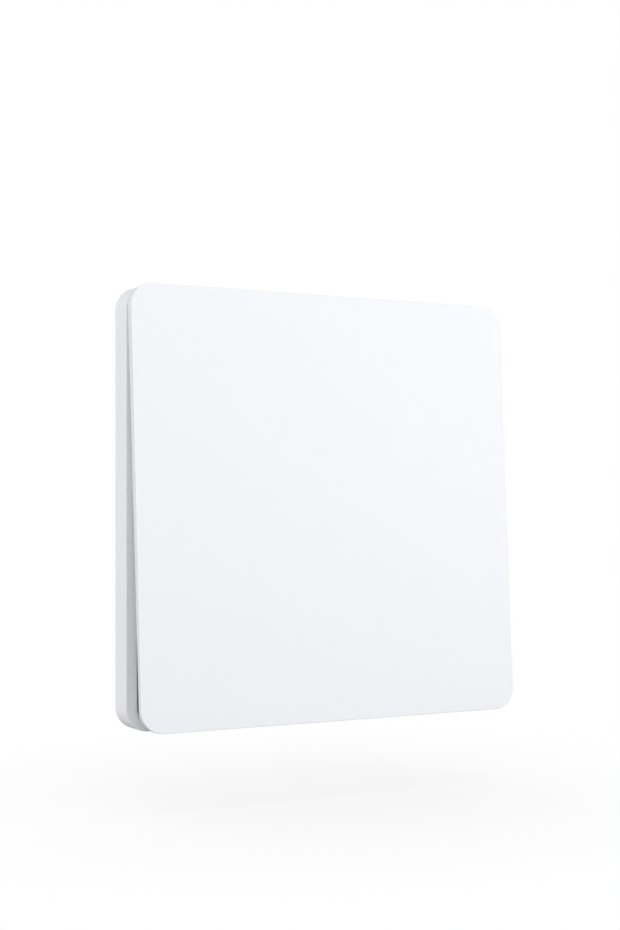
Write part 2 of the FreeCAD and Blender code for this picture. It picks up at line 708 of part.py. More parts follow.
def hexagon(x, z, radius):
    corners = []
    for degrees in range(0, 360, 60):
        angle = math.radians(degrees)
        corners.append((x + radius * math.cos(angle), z + radius * math.sin(angle)))
    return corners


# Generator frame: carries the core on two ledges under two clamps, and the magnet on two bearings
def make_generator_frame():
    body = new_body("generator_frame")
    inner, outer = generator_half_inside, generator_half
    top = cover_inside - generator_gap
    wall_back = core_high + core_end_gap
    ledge = core_half_width - core_leg - core_end_gap
    grip = core_half_width - core_clamp_grip
    clamp_back = core_front + core_clamp_gap
    clamp_high = core_high - core_yoke - core_clamp_grip
    for side in (-1, 1):
        side_block(body, generator_x, side, inner, outer, magnet_low + pivot_above_middle,
                   wall_back + generator_wall, floor_front, top)
        side_block(body, generator_x, side, ledge, inner + joint_overlap, bobbin_low,
                   wall_back + joint_overlap, floor_front, core_back)
        side_block(body, generator_x, side, grip, inner + joint_overlap, clamp_high - core_clamp_height,
                   clamp_high, clamp_back, core_front + core_clamp_thickness)
    block(body, generator_x - outer, generator_x + outer, wall_back, wall_back + generator_wall,
          floor_front, top)
    side_disc(body, core_depth, pivot_height, pivot_radius + running_gap, generator_x - outer - cut_past,
              generator_x + outer + cut_past, cut=True)
    notch_low = lead_height() - lead_notch_width / 2
    block(body, generator_x - outer, generator_x - inner, notch_low, notch_low + lead_notch_width,
          top - lead_notch_depth, top, cut=True)
    return body


def lead_height():
    return bobbin_high - bobbin_flange / 2


# The core is cut from sheet in the shape of an E, with its middle leg through the coil
def make_iron_core():
    body = new_body("iron_core")
    left, right = generator_x - core_half_width, generator_x + core_half_width
    yoke = core_high - core_yoke
    middle_left = generator_x - core_middle_leg / 2
    middle_right = generator_x + core_middle_leg / 2
    sketch = new_sketch(body, "XZ_Plane", core_back)
    draw_polygon(sketch, ((left, core_low), (left + core_leg, core_low), (left + core_leg, yoke),
                          (middle_left, yoke), (middle_left, core_low), (middle_right, core_low),
                          (middle_right, yoke), (right - core_leg, yoke), (right - core_leg, core_low),
                          (right, core_low), (right, core_high), (left, core_high)))
    extrude(body, sketch, core_thickness)
    return body


def bobbin_tube():
    half_width = core_middle_leg / 2 + running_gap + bobbin_tube_wall
    half_depth = core_thickness / 2 + running_gap + bobbin_tube_wall
    return half_width, half_depth


def make_coil_bobbin():
    body = new_body("coil_bobbin")
    half_width, half_depth = bobbin_tube()
    flange_back = floor_front + generator_gap
    flange_front = cover_inside - generator_gap
    x0, x1 = generator_x - bobbin_half, generator_x + bobbin_half
    block(body, generator_x - half_width, generator_x + half_width, bobbin_low, bobbin_high,
          core_depth - half_depth, core_depth + half_depth)
    block(body, x0, x1, bobbin_low, bobbin_low + bobbin_flange, flange_back, flange_front)
    block(body, x0, x1, bobbin_high - bobbin_flange, bobbin_high, flange_back, flange_front)
    hole = core_middle_leg / 2 + running_gap
    block(body, generator_x - hole, generator_x + hole, bobbin_low - cut_past, bobbin_high + cut_past,
          core_back - running_gap, core_front + running_gap, cut=True)
    return body


def make_coil_winding():
    body = new_body("coil_winding")
    half_width, half_depth = bobbin_tube()
    outer_half = bobbin_half - winding_inset
    outer_depth = core_depth - floor_front - generator_gap - winding_inset
    sketch = new_sketch(body, "XY_Plane", bobbin_low + bobbin_flange)
    draw_rectangle(sketch, generator_x - outer_half, generator_x + outer_half, -core_depth - outer_depth,
                   -core_depth + outer_depth, winding_corner)
    draw_rectangle(sketch, generator_x - half_width, generator_x + half_width, -core_depth - half_depth,
                   -core_depth + half_depth)
    extrude(body, sketch, bobbin_high - bobbin_low - bobbin_flange * 2)
    return body


# Two wire ends run from the winding, through a notch in the generator frame, down to the board
def make_coil_leads():
    body = new_body("coil_leads")
    depth = cover_inside - lead_depth_inset
    drop_x = board_right - lead_board_inset
    start_x = generator_x - bobbin_half
    for step in (-1, 1):
        z = lead_height() + lead_spacing / 2 * step
        block(body, drop_x - lead_radius, start_x, z - lead_radius, z + lead_radius,
              depth - lead_radius, depth + lead_radius)
        block(body, drop_x - lead_radius, drop_x + lead_radius, z - lead_radius, z + lead_radius,
              board_front, depth - lead_radius)
    return body


# The magnet and its pole plates tip with the carrier about the pivot
def make_magnet():
    body = new_body("magnet")
    half = magnet_thickness / 2
    block(body, generator_x - core_half_width, generator_x + core_half_width, magnet_low, magnet_high,
          core_depth - half, core_depth + half)
    return body


def make_pole_plate(label, side):
    body = new_body(label)
    near = core_depth + magnet_thickness / 2 * side
    back, front = sorted_pair(near, near + pole_thickness * side)
    block(body, generator_x - core_half_width, generator_x + core_half_width, magnet_low, pole_high,
          back, front)
    return body


def make_magnet_carrier():
    body = new_body("magnet_carrier")
    back, front = core_depth - carrier_half_depth, core_depth + carrier_half_depth
    inner = core_half_width
    outer = core_half_width + carrier_wall
    low = magnet_low - carrier_base
    block(body, generator_x - outer, generator_x + outer, low, magnet_low, back, front)
    for side in (-1, 1):
        side_block(body, generator_x, side, inner, outer, low, magnet_high, back, front)
        pin_end = outer + generator_gap + generator_wall
        x0, x1 = sorted_pair(generator_x + outer * side, generator_x + pin_end * side)
        side_disc(body, core_depth, pivot_height, pivot_radius, x0, x1)
    half = arm_width / 2
    block(body, generator_x - half, generator_x + half, nub_height - arm_past_nub, low,
          core_depth - arm_thickness / 2, core_depth + arm_thickness / 2)
    return body


def make_drive_spring():
    body = new_body("drive_spring")
    back = core_depth + arm_thickness / 2
    half = arm_width / 2 - leaf_inset
    block(body, generator_x - half, generator_x + half, nub_height - arm_past_nub + leaf_end_inset,
          magnet_low - carrier_base - leaf_end_inset, back, back + leaf_thickness)
    return body


def make_circuit_board():
    body = new_body("circuit_board")
    block(body, board_left, board_right, board_low, board_high, board_back, board_front)
    return body


# The board's parts stand in one column up its middle, a small gap apart
def make_chips():
    low = board_low + board_edge + antenna_length + chip_gap
    bodies = []
    for label, width, height, thickness in chips:
        body = new_body(label)
        block(body, board_middle - width / 2, board_middle + width / 2, low, low + height,
              board_front, board_front + thickness)
        low = low + height + chip_gap
        bodies.append(body)
    return bodies


# Rocker cap: the smooth face, thinner along its lower edge
def make_rocker_cap():
    body = new_body("rocker_cap")
    half = face_size / 2
    inner = half - cap_skirt_width
    block(body, -half, half, -half, half, cap_back, cap_front, corner_radius)
    block(body, -inner, inner, -inner, inner, cap_back, frame_front, corner_radius - cap_skirt_width,
          cut=True)
    thin_back = cap_front - cap_edge_bottom
    past = half + cut_past
    behind = cap_back - cut_past
    wedge = ((behind, past), (behind, -past), (thin_back, -past), (thin_back, -half), (cap_back, half),
             (cap_back, past))
    side_polygon(body, wedge, -past, past, cut=True)
    for x, z in peg_places():
        disc(body, x, z, peg_radius, frame_back + peg_end_gap, frame_front)
    round_edges(body, edge_round, lambda edge: lies_at_depth(edge, cap_front))
    return body


def peg_places():
    places = []
    for side in (-1, 1):
        for up in (-1, 1):
            places.append(((frame_size / 2 - peg_side_inset) * side, (frame_size / 2 - peg_end_inset) * up))
    return places


# Rocker frame: hinge arms, spring seats, stop hooks, ribs, and the nub that works the lever
def make_rocker_frame():
    body = new_body("rocker_frame")
    half = frame_size / 2
    block(body, -half, half, -half, half, frame_back, frame_front, frame_corner)
    window = cover_right + window_gap
    block(body, -window, window, cover_low - window_low_gap, cover_high + window_high_gap, frame_back,
          frame_front, window_corner, cut=True)
    lower_window = spring_across / 2 - lower_window_spring_gap
    block(body, -lower_window, lower_window, lower_window_bar - half, nub_height - nub_bar, frame_back,
          frame_front, window_corner, cut=True)
    for x, z in peg_places():
        disc(body, x, z, peg_radius + running_gap, frame_back, frame_front, cut=True)
    for side in (-1, 1):
        disc(body, spring_across / 2 * side, spring_height, spring_radius - spring_wire / 2 - spring_seat_gap,
             frame_back - spring_cup_rise, frame_back + joint_overlap)
        add_hinge_arm(body, side)
        add_stop_hook(body, side)
        add_side_ribs(body, side, window)
    add_level_ribs(body)
    disc(body, generator_x, nub_height, nub_radius, nub_back(), frame_back + joint_overlap)
    chamfer_edges(body, nub_round, lambda edge: lies_at_depth(edge, nub_back()))
    return body


# The nub stops just short of the leaf on the lever arm when the rocker is pressed
def nub_back():
    arm = pivot_height - nub_height
    swing = arm * sine(lever_turn / 2)
    return core_depth + arm_thickness / 2 + leaf_thickness - swing + nub_gap


def add_hinge_arm(body, side):
    arm = hinge_across / 2
    x0, x1 = sorted_pair((arm - hinge_arm_width / 2) * side, (arm + hinge_arm_width / 2) * side)
    end = hinge_pin_radius + hinge_arm_wall
    block(body, x0, x1, hinge_height - end, hinge_height + end, hinge_depth, frame_back + joint_overlap)
    side_disc(body, hinge_depth, hinge_height, end, x0, x1)
    x0, x1 = sorted_pair(arm * side, (arm + hinge_arm_width / 2 + hinge_pin_length) * side)
    side_disc(body, hinge_depth, hinge_height, hinge_pin_radius, x0, x1)


def add_stop_hook(body, side):
    leg = stop_hook_across / 2
    low = stop_hook_height - stop_hook_width / 2
    high = low + stop_hook_width
    toe = leg + stop_hook_thickness + stop_toe
    side_block(body, 0.0, side, leg, leg + stop_hook_thickness, low, high, stop_toe_depth,
               frame_back + joint_overlap)
    side_block(body, 0.0, side, leg + joint_overlap, toe, low, high, stop_toe_depth,
               stop_toe_depth + stop_toe_thickness)


# One long rib stiffens each side of the frame, with short ribs from it to the window
def add_side_ribs(body, side, window):
    outer = frame_size / 2 - frame_rib_inset
    inner = outer - frame_rib_width
    end = frame_size / 2 - peg_end_inset - peg_radius - frame_rib_width
    back, front = frame_back - frame_rib_depth, frame_back + joint_overlap
    side_block(body, 0.0, side, inner, outer, -end, end, back, front)
    for up in (-1, 1):
        for step in (2, 3):
            low = frame_rib_pitch * step * up - frame_rib_width / 2
            side_block(body, 0.0, side, window + frame_rib_width, inner + joint_overlap, low,
                       low + frame_rib_width, back, front)


# Level ribs along the hinge bar, the bar that carries the nub and the bar between the pads
def add_level_ribs(body):
    back, front = frame_back - frame_rib_depth, frame_back + joint_overlap
    hinge_end = hinge_across / 2 - hinge_arm_width
    nub_end = generator_x - arm_width
    pad_end = pad_across / 2 - pad_radius - frame_rib_width
    upper = hinge_height - hinge_inset
    middle = nub_height - nub_bar + frame_rib_width
    lower = frame_rib_width - frame_size / 2
    for left, right, low in ((-hinge_end, hinge_end, upper), (-spring_across / 2, nub_end, middle),
                             (-pad_end, pad_end, lower)):
        block(body, left, right, low, low + frame_rib_width, back, front)


def make_stop_pad(label, side):
    body = new_body(label)
    disc(body, pad_across / 2 * side, pad_height, pad_stem_radius, pad_back - pad_stem_length, pad_back)
    disc(body, pad_across / 2 * side, pad_height, pad_radius, pad_back, pad_back + pad_thickness)
    return body


# The lever turns this much further than the rocker, and rests half of its turn outwards
lever_turn = rest_tilt * (hinge_height - nub_height) / (pivot_height - nub_height)

# Height of a return spring at rest, from the base floor to the tipped frame
spring_lift = (hinge_height - spring_height - spring_radius) * sine(rest_tilt)
spring_rest = frame_back - floor_front + spring_lift - spring_end_gap

root_parts = [make_wall_plate(), make_base_housing(), make_gasket(), make_module_cover(), make_cover_screws(),
              make_generator_frame(), make_iron_core(), make_coil_bobbin(), make_coil_winding(),
              make_coil_leads(), make_circuit_board()] + make_chips()
for label, side in (("stop_pad_left", -1), ("stop_pad_right", 1)):
    root_parts.append(make_stop_pad(label, side))
for label, side in (("return_spring_left", -1), ("return_spring_right", 1)):
    root_parts.append(make_return_spring(label, side))
root_parts.append(make_antenna())

rocker_parts = [make_rocker_cap(), make_rocker_frame()]
for part in rocker_parts:
    turn_about(part, hinge_depth, hinge_height, -rest_tilt)

lever_parts = [make_magnet(), make_pole_plate("front_pole_plate", 1), make_pole_plate("rear_pole_plate", -1),
               make_magnet_carrier(), make_drive_spring()]
for part in lever_parts:
    turn_about(part, core_depth, pivot_height, -lever_turn / 2)

doc.recompute()

for item in doc.Objects:
    if "Invalid" in item.State or "Error" in item.State:
        raise RuntimeError("%s did not build" % item.Label)

os.makedirs("parts", exist_ok=True)
for part in root_parts + rocker_parts + lever_parts:
    shape = part.Shape
    if shape.isNull() or not shape.isValid() or shape.Volume <= 0:
        raise RuntimeError("%s has no valid shape" % part.Label)
    shape.exportStep("parts/%s.step" % part.Label)
    print(part.Label, len(shape.Solids), round(shape.Volume, 2))
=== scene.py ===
import json
import math

import bmesh
import bpy
import numpy as np
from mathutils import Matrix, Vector

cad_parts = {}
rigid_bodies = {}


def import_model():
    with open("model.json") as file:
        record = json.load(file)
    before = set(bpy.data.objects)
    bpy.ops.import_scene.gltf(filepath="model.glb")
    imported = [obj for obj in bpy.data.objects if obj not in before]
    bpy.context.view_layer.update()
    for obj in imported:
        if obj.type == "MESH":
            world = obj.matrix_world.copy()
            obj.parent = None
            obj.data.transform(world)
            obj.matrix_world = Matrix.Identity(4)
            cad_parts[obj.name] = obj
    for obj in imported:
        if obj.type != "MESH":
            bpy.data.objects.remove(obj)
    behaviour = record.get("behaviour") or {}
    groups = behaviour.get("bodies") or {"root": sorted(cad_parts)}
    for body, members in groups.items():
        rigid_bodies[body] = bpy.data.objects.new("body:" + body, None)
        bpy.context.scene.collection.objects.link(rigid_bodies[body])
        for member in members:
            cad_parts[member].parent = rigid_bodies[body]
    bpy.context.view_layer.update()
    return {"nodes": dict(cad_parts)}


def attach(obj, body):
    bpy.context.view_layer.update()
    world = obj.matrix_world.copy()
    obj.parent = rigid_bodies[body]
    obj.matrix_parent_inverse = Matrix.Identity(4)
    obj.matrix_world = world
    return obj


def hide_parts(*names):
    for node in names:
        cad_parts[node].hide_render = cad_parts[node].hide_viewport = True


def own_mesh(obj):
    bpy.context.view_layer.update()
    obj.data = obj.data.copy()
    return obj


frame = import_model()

print("stage 1: the packed parts are loaded")

mm = 0.001  # shapes are worked out in millimetres, and Blender takes metres

# What several pieces share: places across, up and in depth out from the wall, and the steps of a small curve
shared = {
    "halfFace": 43.0,
    "corner": 4.5,
    "leastCorner": 0.05,
    "blockCornerSteps": 5,
    "blockEdgeSteps": 4,
    "plateFront": 1.5,
    "floorFront": 2.5,
    "rimFront": 7.0,
    "hingeDepth": 5.3,
    "hingeUp": 36.0,
    "restTilt": 3.5,
}


# Each shape is a closed skin, (points, faces), in millimetres, worked out as whole arrays

def roundedLoop(halfAcross, halfUp, corner, steps):
    # a rectangle with its corners swapped for quarter circles, as points (across, up)
    angle = np.linspace(0.0, math.pi / 2, steps + 1)
    turn = angle[None, :] + np.arange(4)[:, None] * math.pi / 2
    signAcross = np.array([1, -1, -1, 1])[:, None]
    signUp = np.array([1, 1, -1, -1])[:, None]
    across = signAcross * (halfAcross - corner) + corner * np.cos(turn)
    up = signUp * (halfUp - corner) + corner * np.sin(turn)
    return np.stack([across.ravel(), up.ravel()], axis=1)


def laidOut(loop, depth, centre=(0.0, 0.0)):
    # a loop's points in space, moved to the centre, at one depth for all or one for each
    return np.stack([loop[:, 0] + centre[0], np.zeros(len(loop)) - depth, loop[:, 1] + centre[1]], axis=1)


def skin(rings):
    # four-sided faces between each ring of points and the next, and one flat face over each end
    ringCount, around = rings.shape[:2]
    index = np.arange(ringCount * around).reshape(ringCount, around)
    nextAround = np.roll(index, -1, axis=1)
    quads = np.stack([index[:-1], nextAround[:-1], nextAround[1:], index[1:]], axis=-1).reshape(-1, 4)
    return rings.reshape(-1, 3), [index[0][::-1].tolist()] + quads.tolist() + [index[-1].tolist()]


def carriedRound(centre, halves, corner, profile, steps):
    # the profile's (inset, depth) rows, each carried once round a rounded rectangle that is smaller by the inset
    loops = []
    for inset, depth in profile:
        radius = max(corner - inset, shared["leastCorner"])
        loops.append(laidOut(roundedLoop(halves[0] - inset, halves[1] - inset, radius, steps), depth, centre))
    return skin(np.array(loops))


def turned(centre, profile, steps=32):
    # the profile's (radius, depth) rows, each turned once about an axis that points out from the wall
    angle = np.linspace(0.0, 2 * math.pi, steps, endpoint=False)
    rows = np.array(profile, float)
    across = centre[0] + rows[:, :1] * np.cos(angle)
    up = centre[1] + rows[:, :1] * np.sin(angle)
    depth = np.repeat(-rows[:, 1:], steps, axis=1)
    return skin(np.stack([across, depth, up], axis=-1))


def prismAcross(outline, left, right):
    # an outline of (depth, up) points, carried straight from left to right
    depth, up = np.array(outline, float).T
    return skin(np.array([np.stack([np.full(len(up), across), -depth, up], axis=1) for across in (left, right)]))


def quarter(radius, start, count):
    # insets and drops along a quarter circle that rounds an edge, from the curve's top or from its side
    angle = np.linspace(0.0, math.pi / 2, count + 1)
    far, near = radius * (1 - np.sin(angle)), radius * (1 - np.cos(angle))
    return list(zip(far, near)) if start == "top" else list(zip(near, far))


def block(centre, halves, back, front, corner, edge):
    # a rounded rectangle carried from its back to its front, where its edge is rounded
    rows = [(0.0, back)]
    rows += [(inset, front - drop) for inset, drop in quarter(edge, "side", shared["blockEdgeSteps"])]
    return carriedRound(centre, halves, corner, rows, shared["blockCornerSteps"])


def together(shapes):
    # several shapes in one list of points and faces
    points, faces, start = [], [], 0
    for shapePoints, shapeFaces in shapes:
        points.append(shapePoints)
        faces += [[corner + start for corner in face] for face in shapeFaces]
        start += len(shapePoints)
    return np.concatenate(points), faces


def tilted(points, degrees, depth, up):
    # points turned about the level axis that runs across at this depth and height
    turn = math.radians(degrees)
    y, z = points[:, 1] + depth, points[:, 2] - up
    out = points.copy()
    out[:, 1] = y * math.cos(turn) - z * math.sin(turn) - depth
    out[:, 2] = y * math.sin(turn) + z * math.cos(turn) + up
    return out


# From a shape to a finished Blender object

finishingValues = {
    "sharpAngle": 32.0,       # edges that turn more than this stay sharp, in degrees
    "flatWeight": 80,
    "mergeWithin": 0.002,
    "flatAngle": 1.0,
    "roundAngle": 40.0,
    "roundSteps": 2,
}


def newObject(name, data):
    # an object that holds the data, in the scene
    added = bpy.data.objects.new(name, data)
    bpy.context.scene.collection.objects.link(added)
    return added


def facesOutwards(mesh):
    # the winding of all faces made to agree, pointing out
    work = bmesh.new()
    work.from_mesh(mesh)
    bmesh.ops.recalc_face_normals(work, faces=work.faces)
    work.to_mesh(mesh)
    work.free()


def objectFrom(name, shape):
    # a shape in millimetres made an object in metres, at the origin
    mesh = bpy.data.meshes.new(name)
    mesh.from_pydata((shape[0] * mm).tolist(), [], shape[1])
    mesh.validate()
    facesOutwards(mesh)
    return newObject(name, mesh)


def cutOrJoin(piece, shape, operation):
    # the piece's mesh with the shape taken away from it or joined to it
    tool = objectFrom("tool", shape)
    change = piece.modifiers.new("change", "BOOLEAN")
    change.operation = operation
    change.solver = "EXACT"
    change.object = tool
    result = bpy.data.meshes.new_from_object(piece.evaluated_get(bpy.context.evaluated_depsgraph_get()))
    piece.modifiers.clear()
    piece.data = result
    bpy.data.objects.remove(tool)


def smoothCurves(piece, v):
    # curves shade smoothly, while sharp edges and flat faces keep their own directions
    piece.data.polygons.foreach_set("use_smooth", np.ones(len(piece.data.polygons), bool))
    piece.data.set_sharp_from_angle(angle=math.radians(v["sharpAngle"]))
    flat = piece.modifiers.new("flat faces stay flat", "WEIGHTED_NORMAL")
    flat.keep_sharp = True
    flat.weight = v["flatWeight"]


def finished(piece, body, material, slot, *nodes):
    # the piece with its finish, on the body that carries it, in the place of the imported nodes
    piece.data.materials.clear()
    piece.data.materials.append(material)
    smoothCurves(piece, finishingValues)
    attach(piece, body)
    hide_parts(*nodes)


def paintedShadeFinish(piece, material, chosen):
    # the faces for which chosen(centres, normals) is true take the piece's second finish, a darker copy of its white:
    # painted shade
    count = len(piece.data.polygons)
    centres, normals = np.empty(count * 3), np.empty(count * 3)
    piece.data.polygons.foreach_get("center", centres)
    piece.data.polygons.foreach_get("normal", normals)
    piece.data.materials.append(material)
    mask = chosen(centres.reshape(-1, 3) / mm, normals.reshape(-1, 3))
    piece.data.polygons.foreach_set("material_index", mask.astype(np.int32))


def partsOf(nodeName):
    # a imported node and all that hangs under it
    node = frame["nodes"][nodeName]
    return [node] + list(node.children_recursive)


def softened(name, nodeName, edge, v):
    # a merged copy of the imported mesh, its flat faces joined up and its sharp edges rounded a little
    work = bmesh.new()
    for holder in partsOf(nodeName):
        if holder.type == "MESH":
            work.from_mesh(holder.data)
    bmesh.ops.remove_doubles(work, verts=work.verts, dist=v["mergeWithin"] * mm)
    bmesh.ops.dissolve_limit(work, angle_limit=math.radians(v["flatAngle"]), verts=work.verts, edges=work.edges)
    mesh = bpy.data.meshes.new(name)
    work.to_mesh(mesh)
    work.free()
    piece = newObject(name, mesh)
    rounding = piece.modifiers.new("rounded edges", "BEVEL")
    rounding.width = edge * mm
    rounding.segments = v["roundSteps"]
    rounding.limit_method = "ANGLE"
    rounding.angle_limit = math.radians(v["roundAngle"])
    rounding.use_clamp_overlap = True
    return piece


# Finishes

class Finish:
    # a material with its principled shader, and short ways to add texture nodes on Object coordinates
    def __init__(self, name, colour, roughness, metallic=0.0):
        self.material = bpy.data.materials.new(name)
        self.material.use_nodes = True
        self.nodes = self.material.node_tree.nodes
        self.links = self.material.node_tree.links
        self.shader = self.nodes["Principled BSDF"]
        self.shader.inputs["Base Color"].default_value = (*colour, 1.0)
        self.shader.inputs["Roughness"].default_value = roughness
        self.shader.inputs["Metallic"].default_value = metallic
        self.material.diffuse_color = (*colour, 1.0)
        self.place = self.nodes.new("ShaderNodeTexCoord").outputs["Object"]

    def mapped(self, socket, value):
        # the place with one change to it: a scale for each direction, or a turn
        mapping = self.nodes.new("ShaderNodeMapping")
        mapping.inputs[socket].default_value = value
        self.links.new(self.place, mapping.inputs["Vector"])
        return mapping.outputs["Vector"]

    def noise(self, grains, detail, rough=0.5, place=None):
        # cloudy noise: grains to the metre, how many finer layers it has, and how strong those are
        texture = self.nodes.new("ShaderNodeTexNoise")
        texture.inputs["Scale"].default_value = grains
        texture.inputs["Detail"].default_value = detail
        texture.inputs["Roughness"].default_value = rough
        self.links.new(place or self.place, texture.inputs["Vector"])
        return texture.outputs["Fac"]

    def bands(self, direction, perMetre):
        # soft bands one after another along the direction
        texture = self.nodes.new("ShaderNodeTexWave")
        texture.wave_type = "BANDS"
        texture.bands_direction = direction
        texture.wave_profile = "SIN"
        texture.inputs["Scale"].default_value = perMetre * math.pi / 10  # a wave's scale of pi / 10 is one band
        self.links.new(self.place, texture.inputs["Vector"])
        return texture.outputs["Fac"]

    def colours(self, factor, *stops):
        # the factor made a colour between the two stops
        ramp = self.nodes.new("ShaderNodeValToRGB")
        elements = ramp.color_ramp.elements
        for element, (position, colour) in zip(elements, stops):
            element.position = position
            element.color = (*colour, 1.0)
        self.links.new(factor, ramp.inputs["Fac"])
        self.links.new(ramp.outputs["Color"], self.shader.inputs["Base Color"])

    def roughness(self, factor, low, high):
        # the factor made a roughness between low and high
        spread = self.nodes.new("ShaderNodeMapRange")
        spread.inputs["To Min"].default_value = low
        spread.inputs["To Max"].default_value = high
        self.links.new(factor, spread.inputs["Value"])
        self.links.new(spread.outputs["Result"], self.shader.inputs["Roughness"])

    def relief(self, height, depth, strength):
        # a bump as deep as this, in metres
        bump = self.nodes.new("ShaderNodeBump")
        bump.inputs["Distance"].default_value = depth
        bump.inputs["Strength"].default_value = strength
        self.links.new(height, bump.inputs["Height"])
        self.links.new(bump.outputs["Normal"], self.shader.inputs["Normal"])


def tinted(colour, amount):
    # the colour made darker or lighter, and no lighter than white
    return tuple(min(1.0, part * amount) for part in colour)


mouldedGrain = {
    "cloudDetail": 2.0,
    "cloudStops": (0.35, 0.65),
    "grainDetail": 3.0,
    "grainErosion": 0.6,
    "ior": 1.49,
}


def mouldedPlastic(name, values):
    # faint clouds in the colour, a fine eroded grain in the relief, and a little spread in the gloss
    colour, rough, spread = values["colour"], values["roughness"], values["glossSpread"]
    dark, light = mouldedGrain["cloudStops"]
    finish = Finish(name, colour, rough)
    clouds = finish.noise(values["cloudsPerMetre"], mouldedGrain["cloudDetail"])
    finish.colours(clouds, (dark, tinted(colour, 1 - values["cloud"])), (light, tinted(colour, 1 + values["cloud"])))
    pits = finish.noise(values["grainsPerMetre"], mouldedGrain["grainDetail"], mouldedGrain["grainErosion"])
    finish.roughness(pits, rough - spread, rough + spread)
    finish.relief(pits, values["grainDepth"], values["grainStrength"])
    finish.shader.inputs["IOR"].default_value = mouldedGrain["ior"]
    return finish.material


capPlastic = mouldedPlastic("capPlastic", {
    "colour": (0.900, 0.906, 0.934), "roughness": 0.38, "glossSpread": 0.05,
    "cloud": 0.002, "cloudsPerMetre": 90.0,
    "grainsPerMetre": 7000.0, "grainDepth": 0.000012, "grainStrength": 0.12,
})
trayPlastic = mouldedPlastic("trayPlastic", {
    "colour": (0.899, 0.904, 0.930), "roughness": 0.55, "glossSpread": 0.08,
    "cloud": 0.008, "cloudsPerMetre": 1400.0,
    "grainsPerMetre": 4500.0, "grainDepth": 0.00003, "grainStrength": 0.22,
})
# painted shade: a darker copy of the cap's white, given to the cap's sides so that they read as shaded
capSidePaintedShade = mouldedPlastic("capSidePaintedShade", {
    "colour": (0.830, 0.836, 0.860), "roughness": 0.55, "glossSpread": 0.05,
    "cloud": 0.006, "cloudsPerMetre": 400.0,
    "grainsPerMetre": 5000.0, "grainDepth": 0.00002, "grainStrength": 0.2,
})
# painted shade: a darker copy of the tray's white for the rim ledge, standing in for the shade of the cap over it
rimPaintedShade = mouldedPlastic("rimPaintedShade", {
    "colour": (0.848, 0.855, 0.877), "roughness": 0.62, "glossSpread": 0.08,
    "cloud": 0.05, "cloudsPerMetre": 3600.0,
    "grainsPerMetre": 4200.0, "grainDepth": 0.00005, "grainStrength": 0.7,
})
platePlastic = mouldedPlastic("platePlastic", {
    "colour": (0.860, 0.868, 0.890), "roughness": 0.60, "glossSpread": 0.08,
    "cloud": 0.012, "cloudsPerMetre": 900.0,
    "grainsPerMetre": 3600.0, "grainDepth": 0.00003, "grainStrength": 0.35,
})
# painted shade: the rocker frame is dark grey, standing in for the deep shade seen through the slit between cap and
# tray
innerSlitShade = mouldedPlastic("innerSlitShade", {
    "colour": (0.30, 0.31, 0.33), "roughness": 0.58, "glossSpread": 0.10,
    "cloud": 0.03, "cloudsPerMetre": 1500.0,
    "grainsPerMetre": 3000.0, "grainDepth": 0.00004, "grainStrength": 0.35,
})
coverPlastic = mouldedPlastic("coverPlastic", {
    "colour": (0.22, 0.23, 0.25), "roughness": 0.62, "glossSpread": 0.10,
    "cloud": 0.025, "cloudsPerMetre": 1500.0,
    "grainsPerMetre": 2400.0, "grainDepth": 0.00005, "grainStrength": 0.4,
})
bobbinPlastic = mouldedPlastic("bobbinPlastic", {
    "colour": (0.05, 0.05, 0.055), "roughness": 0.5, "glossSpread": 0.10,
    "cloud": 0.15, "cloudsPerMetre": 900.0,
    "grainsPerMetre": 3500.0, "grainDepth": 0.00003, "grainStrength": 0.3,
})
siliconeRubber = mouldedPlastic("siliconeRubber", {
    "colour": (0.55, 0.55, 0.56), "roughness": 0.78, "glossSpread": 0.08,
    "cloud": 0.04, "cloudsPerMetre": 1200.0,
    "grainsPerMetre": 5000.0, "grainDepth": 0.00003, "grainStrength": 0.4,
})


metalGrain = {
    "cloudDetail": 3.0,
    "cloudStops": (0.3, 0.7),
    "scratchDetail": 3.0,
    "scratchErosion": 0.6,
    "glossier": 0.08,
    "duller": 0.10,
    "scratchDepth": 0.00001,
    "scratchStrength": 0.35,
}


def workedMetal(name, values):
    # fine scratches drawn out along one direction, over a slightly clouded metal
    colour, rough = values["colour"], values["roughness"]
    dark, light = metalGrain["cloudStops"]
    finish = Finish(name, colour, rough, 1.0)
    drawnOut = finish.mapped("Scale", values["grainsPerMetre"])
    scratches = finish.noise(1.0, metalGrain["scratchDetail"], metalGrain["scratchErosion"], drawnOut)
    clouds = finish.noise(values["cloudsPerMetre"], metalGrain["cloudDetail"])
    finish.colours(clouds, (dark, tinted(colour, 1 - values["cloud"])), (light, tinted(colour, 1 + values["cloud"])))
    finish.roughness(scratches, rough - metalGrain["glossier"], rough + metalGrain["duller"])
    finish.relief(scratches, metalGrain["scratchDepth"], metalGrain["scratchStrength"])
    return finish.material


screwSteel = workedMetal("screwSteel", {
    "colour": (0.62, 0.62, 0.63), "roughness": 0.32, "cloud": 0.05,
    "cloudsPerMetre": 900.0, "grainsPerMetre": (5000.0, 900.0, 5000.0),
})
coreSteel = workedMetal("coreSteel", {
    "colour": (0.38, 0.38, 0.39), "roughness": 0.45, "cloud": 0.12,
    "cloudsPerMetre": 700.0, "grainsPerMetre": (6000.0, 2000.0, 500.0),
})
springSteel = workedMetal("springSteel", {
    "colour": (0.55, 0.55, 0.57), "roughness": 0.30, "cloud": 0.06,
    "cloudsPerMetre": 1200.0, "grainsPerMetre": (2500.0, 9000.0, 2500.0),
})
magnetNickel = workedMetal("magnetNickel", {
    "colour": (0.66, 0.66, 0.68), "roughness": 0.20, "cloud": 0.04,
    "cloudsPerMetre": 500.0, "grainsPerMetre": (1200.0, 4000.0, 4000.0),
})
canMetal = workedMetal("canMetal", {
    "colour": (0.70, 0.70, 0.72), "roughness": 0.28, "cloud": 0.05,
    "cloudsPerMetre": 800.0, "grainsPerMetre": (600.0, 5000.0, 5000.0),
})


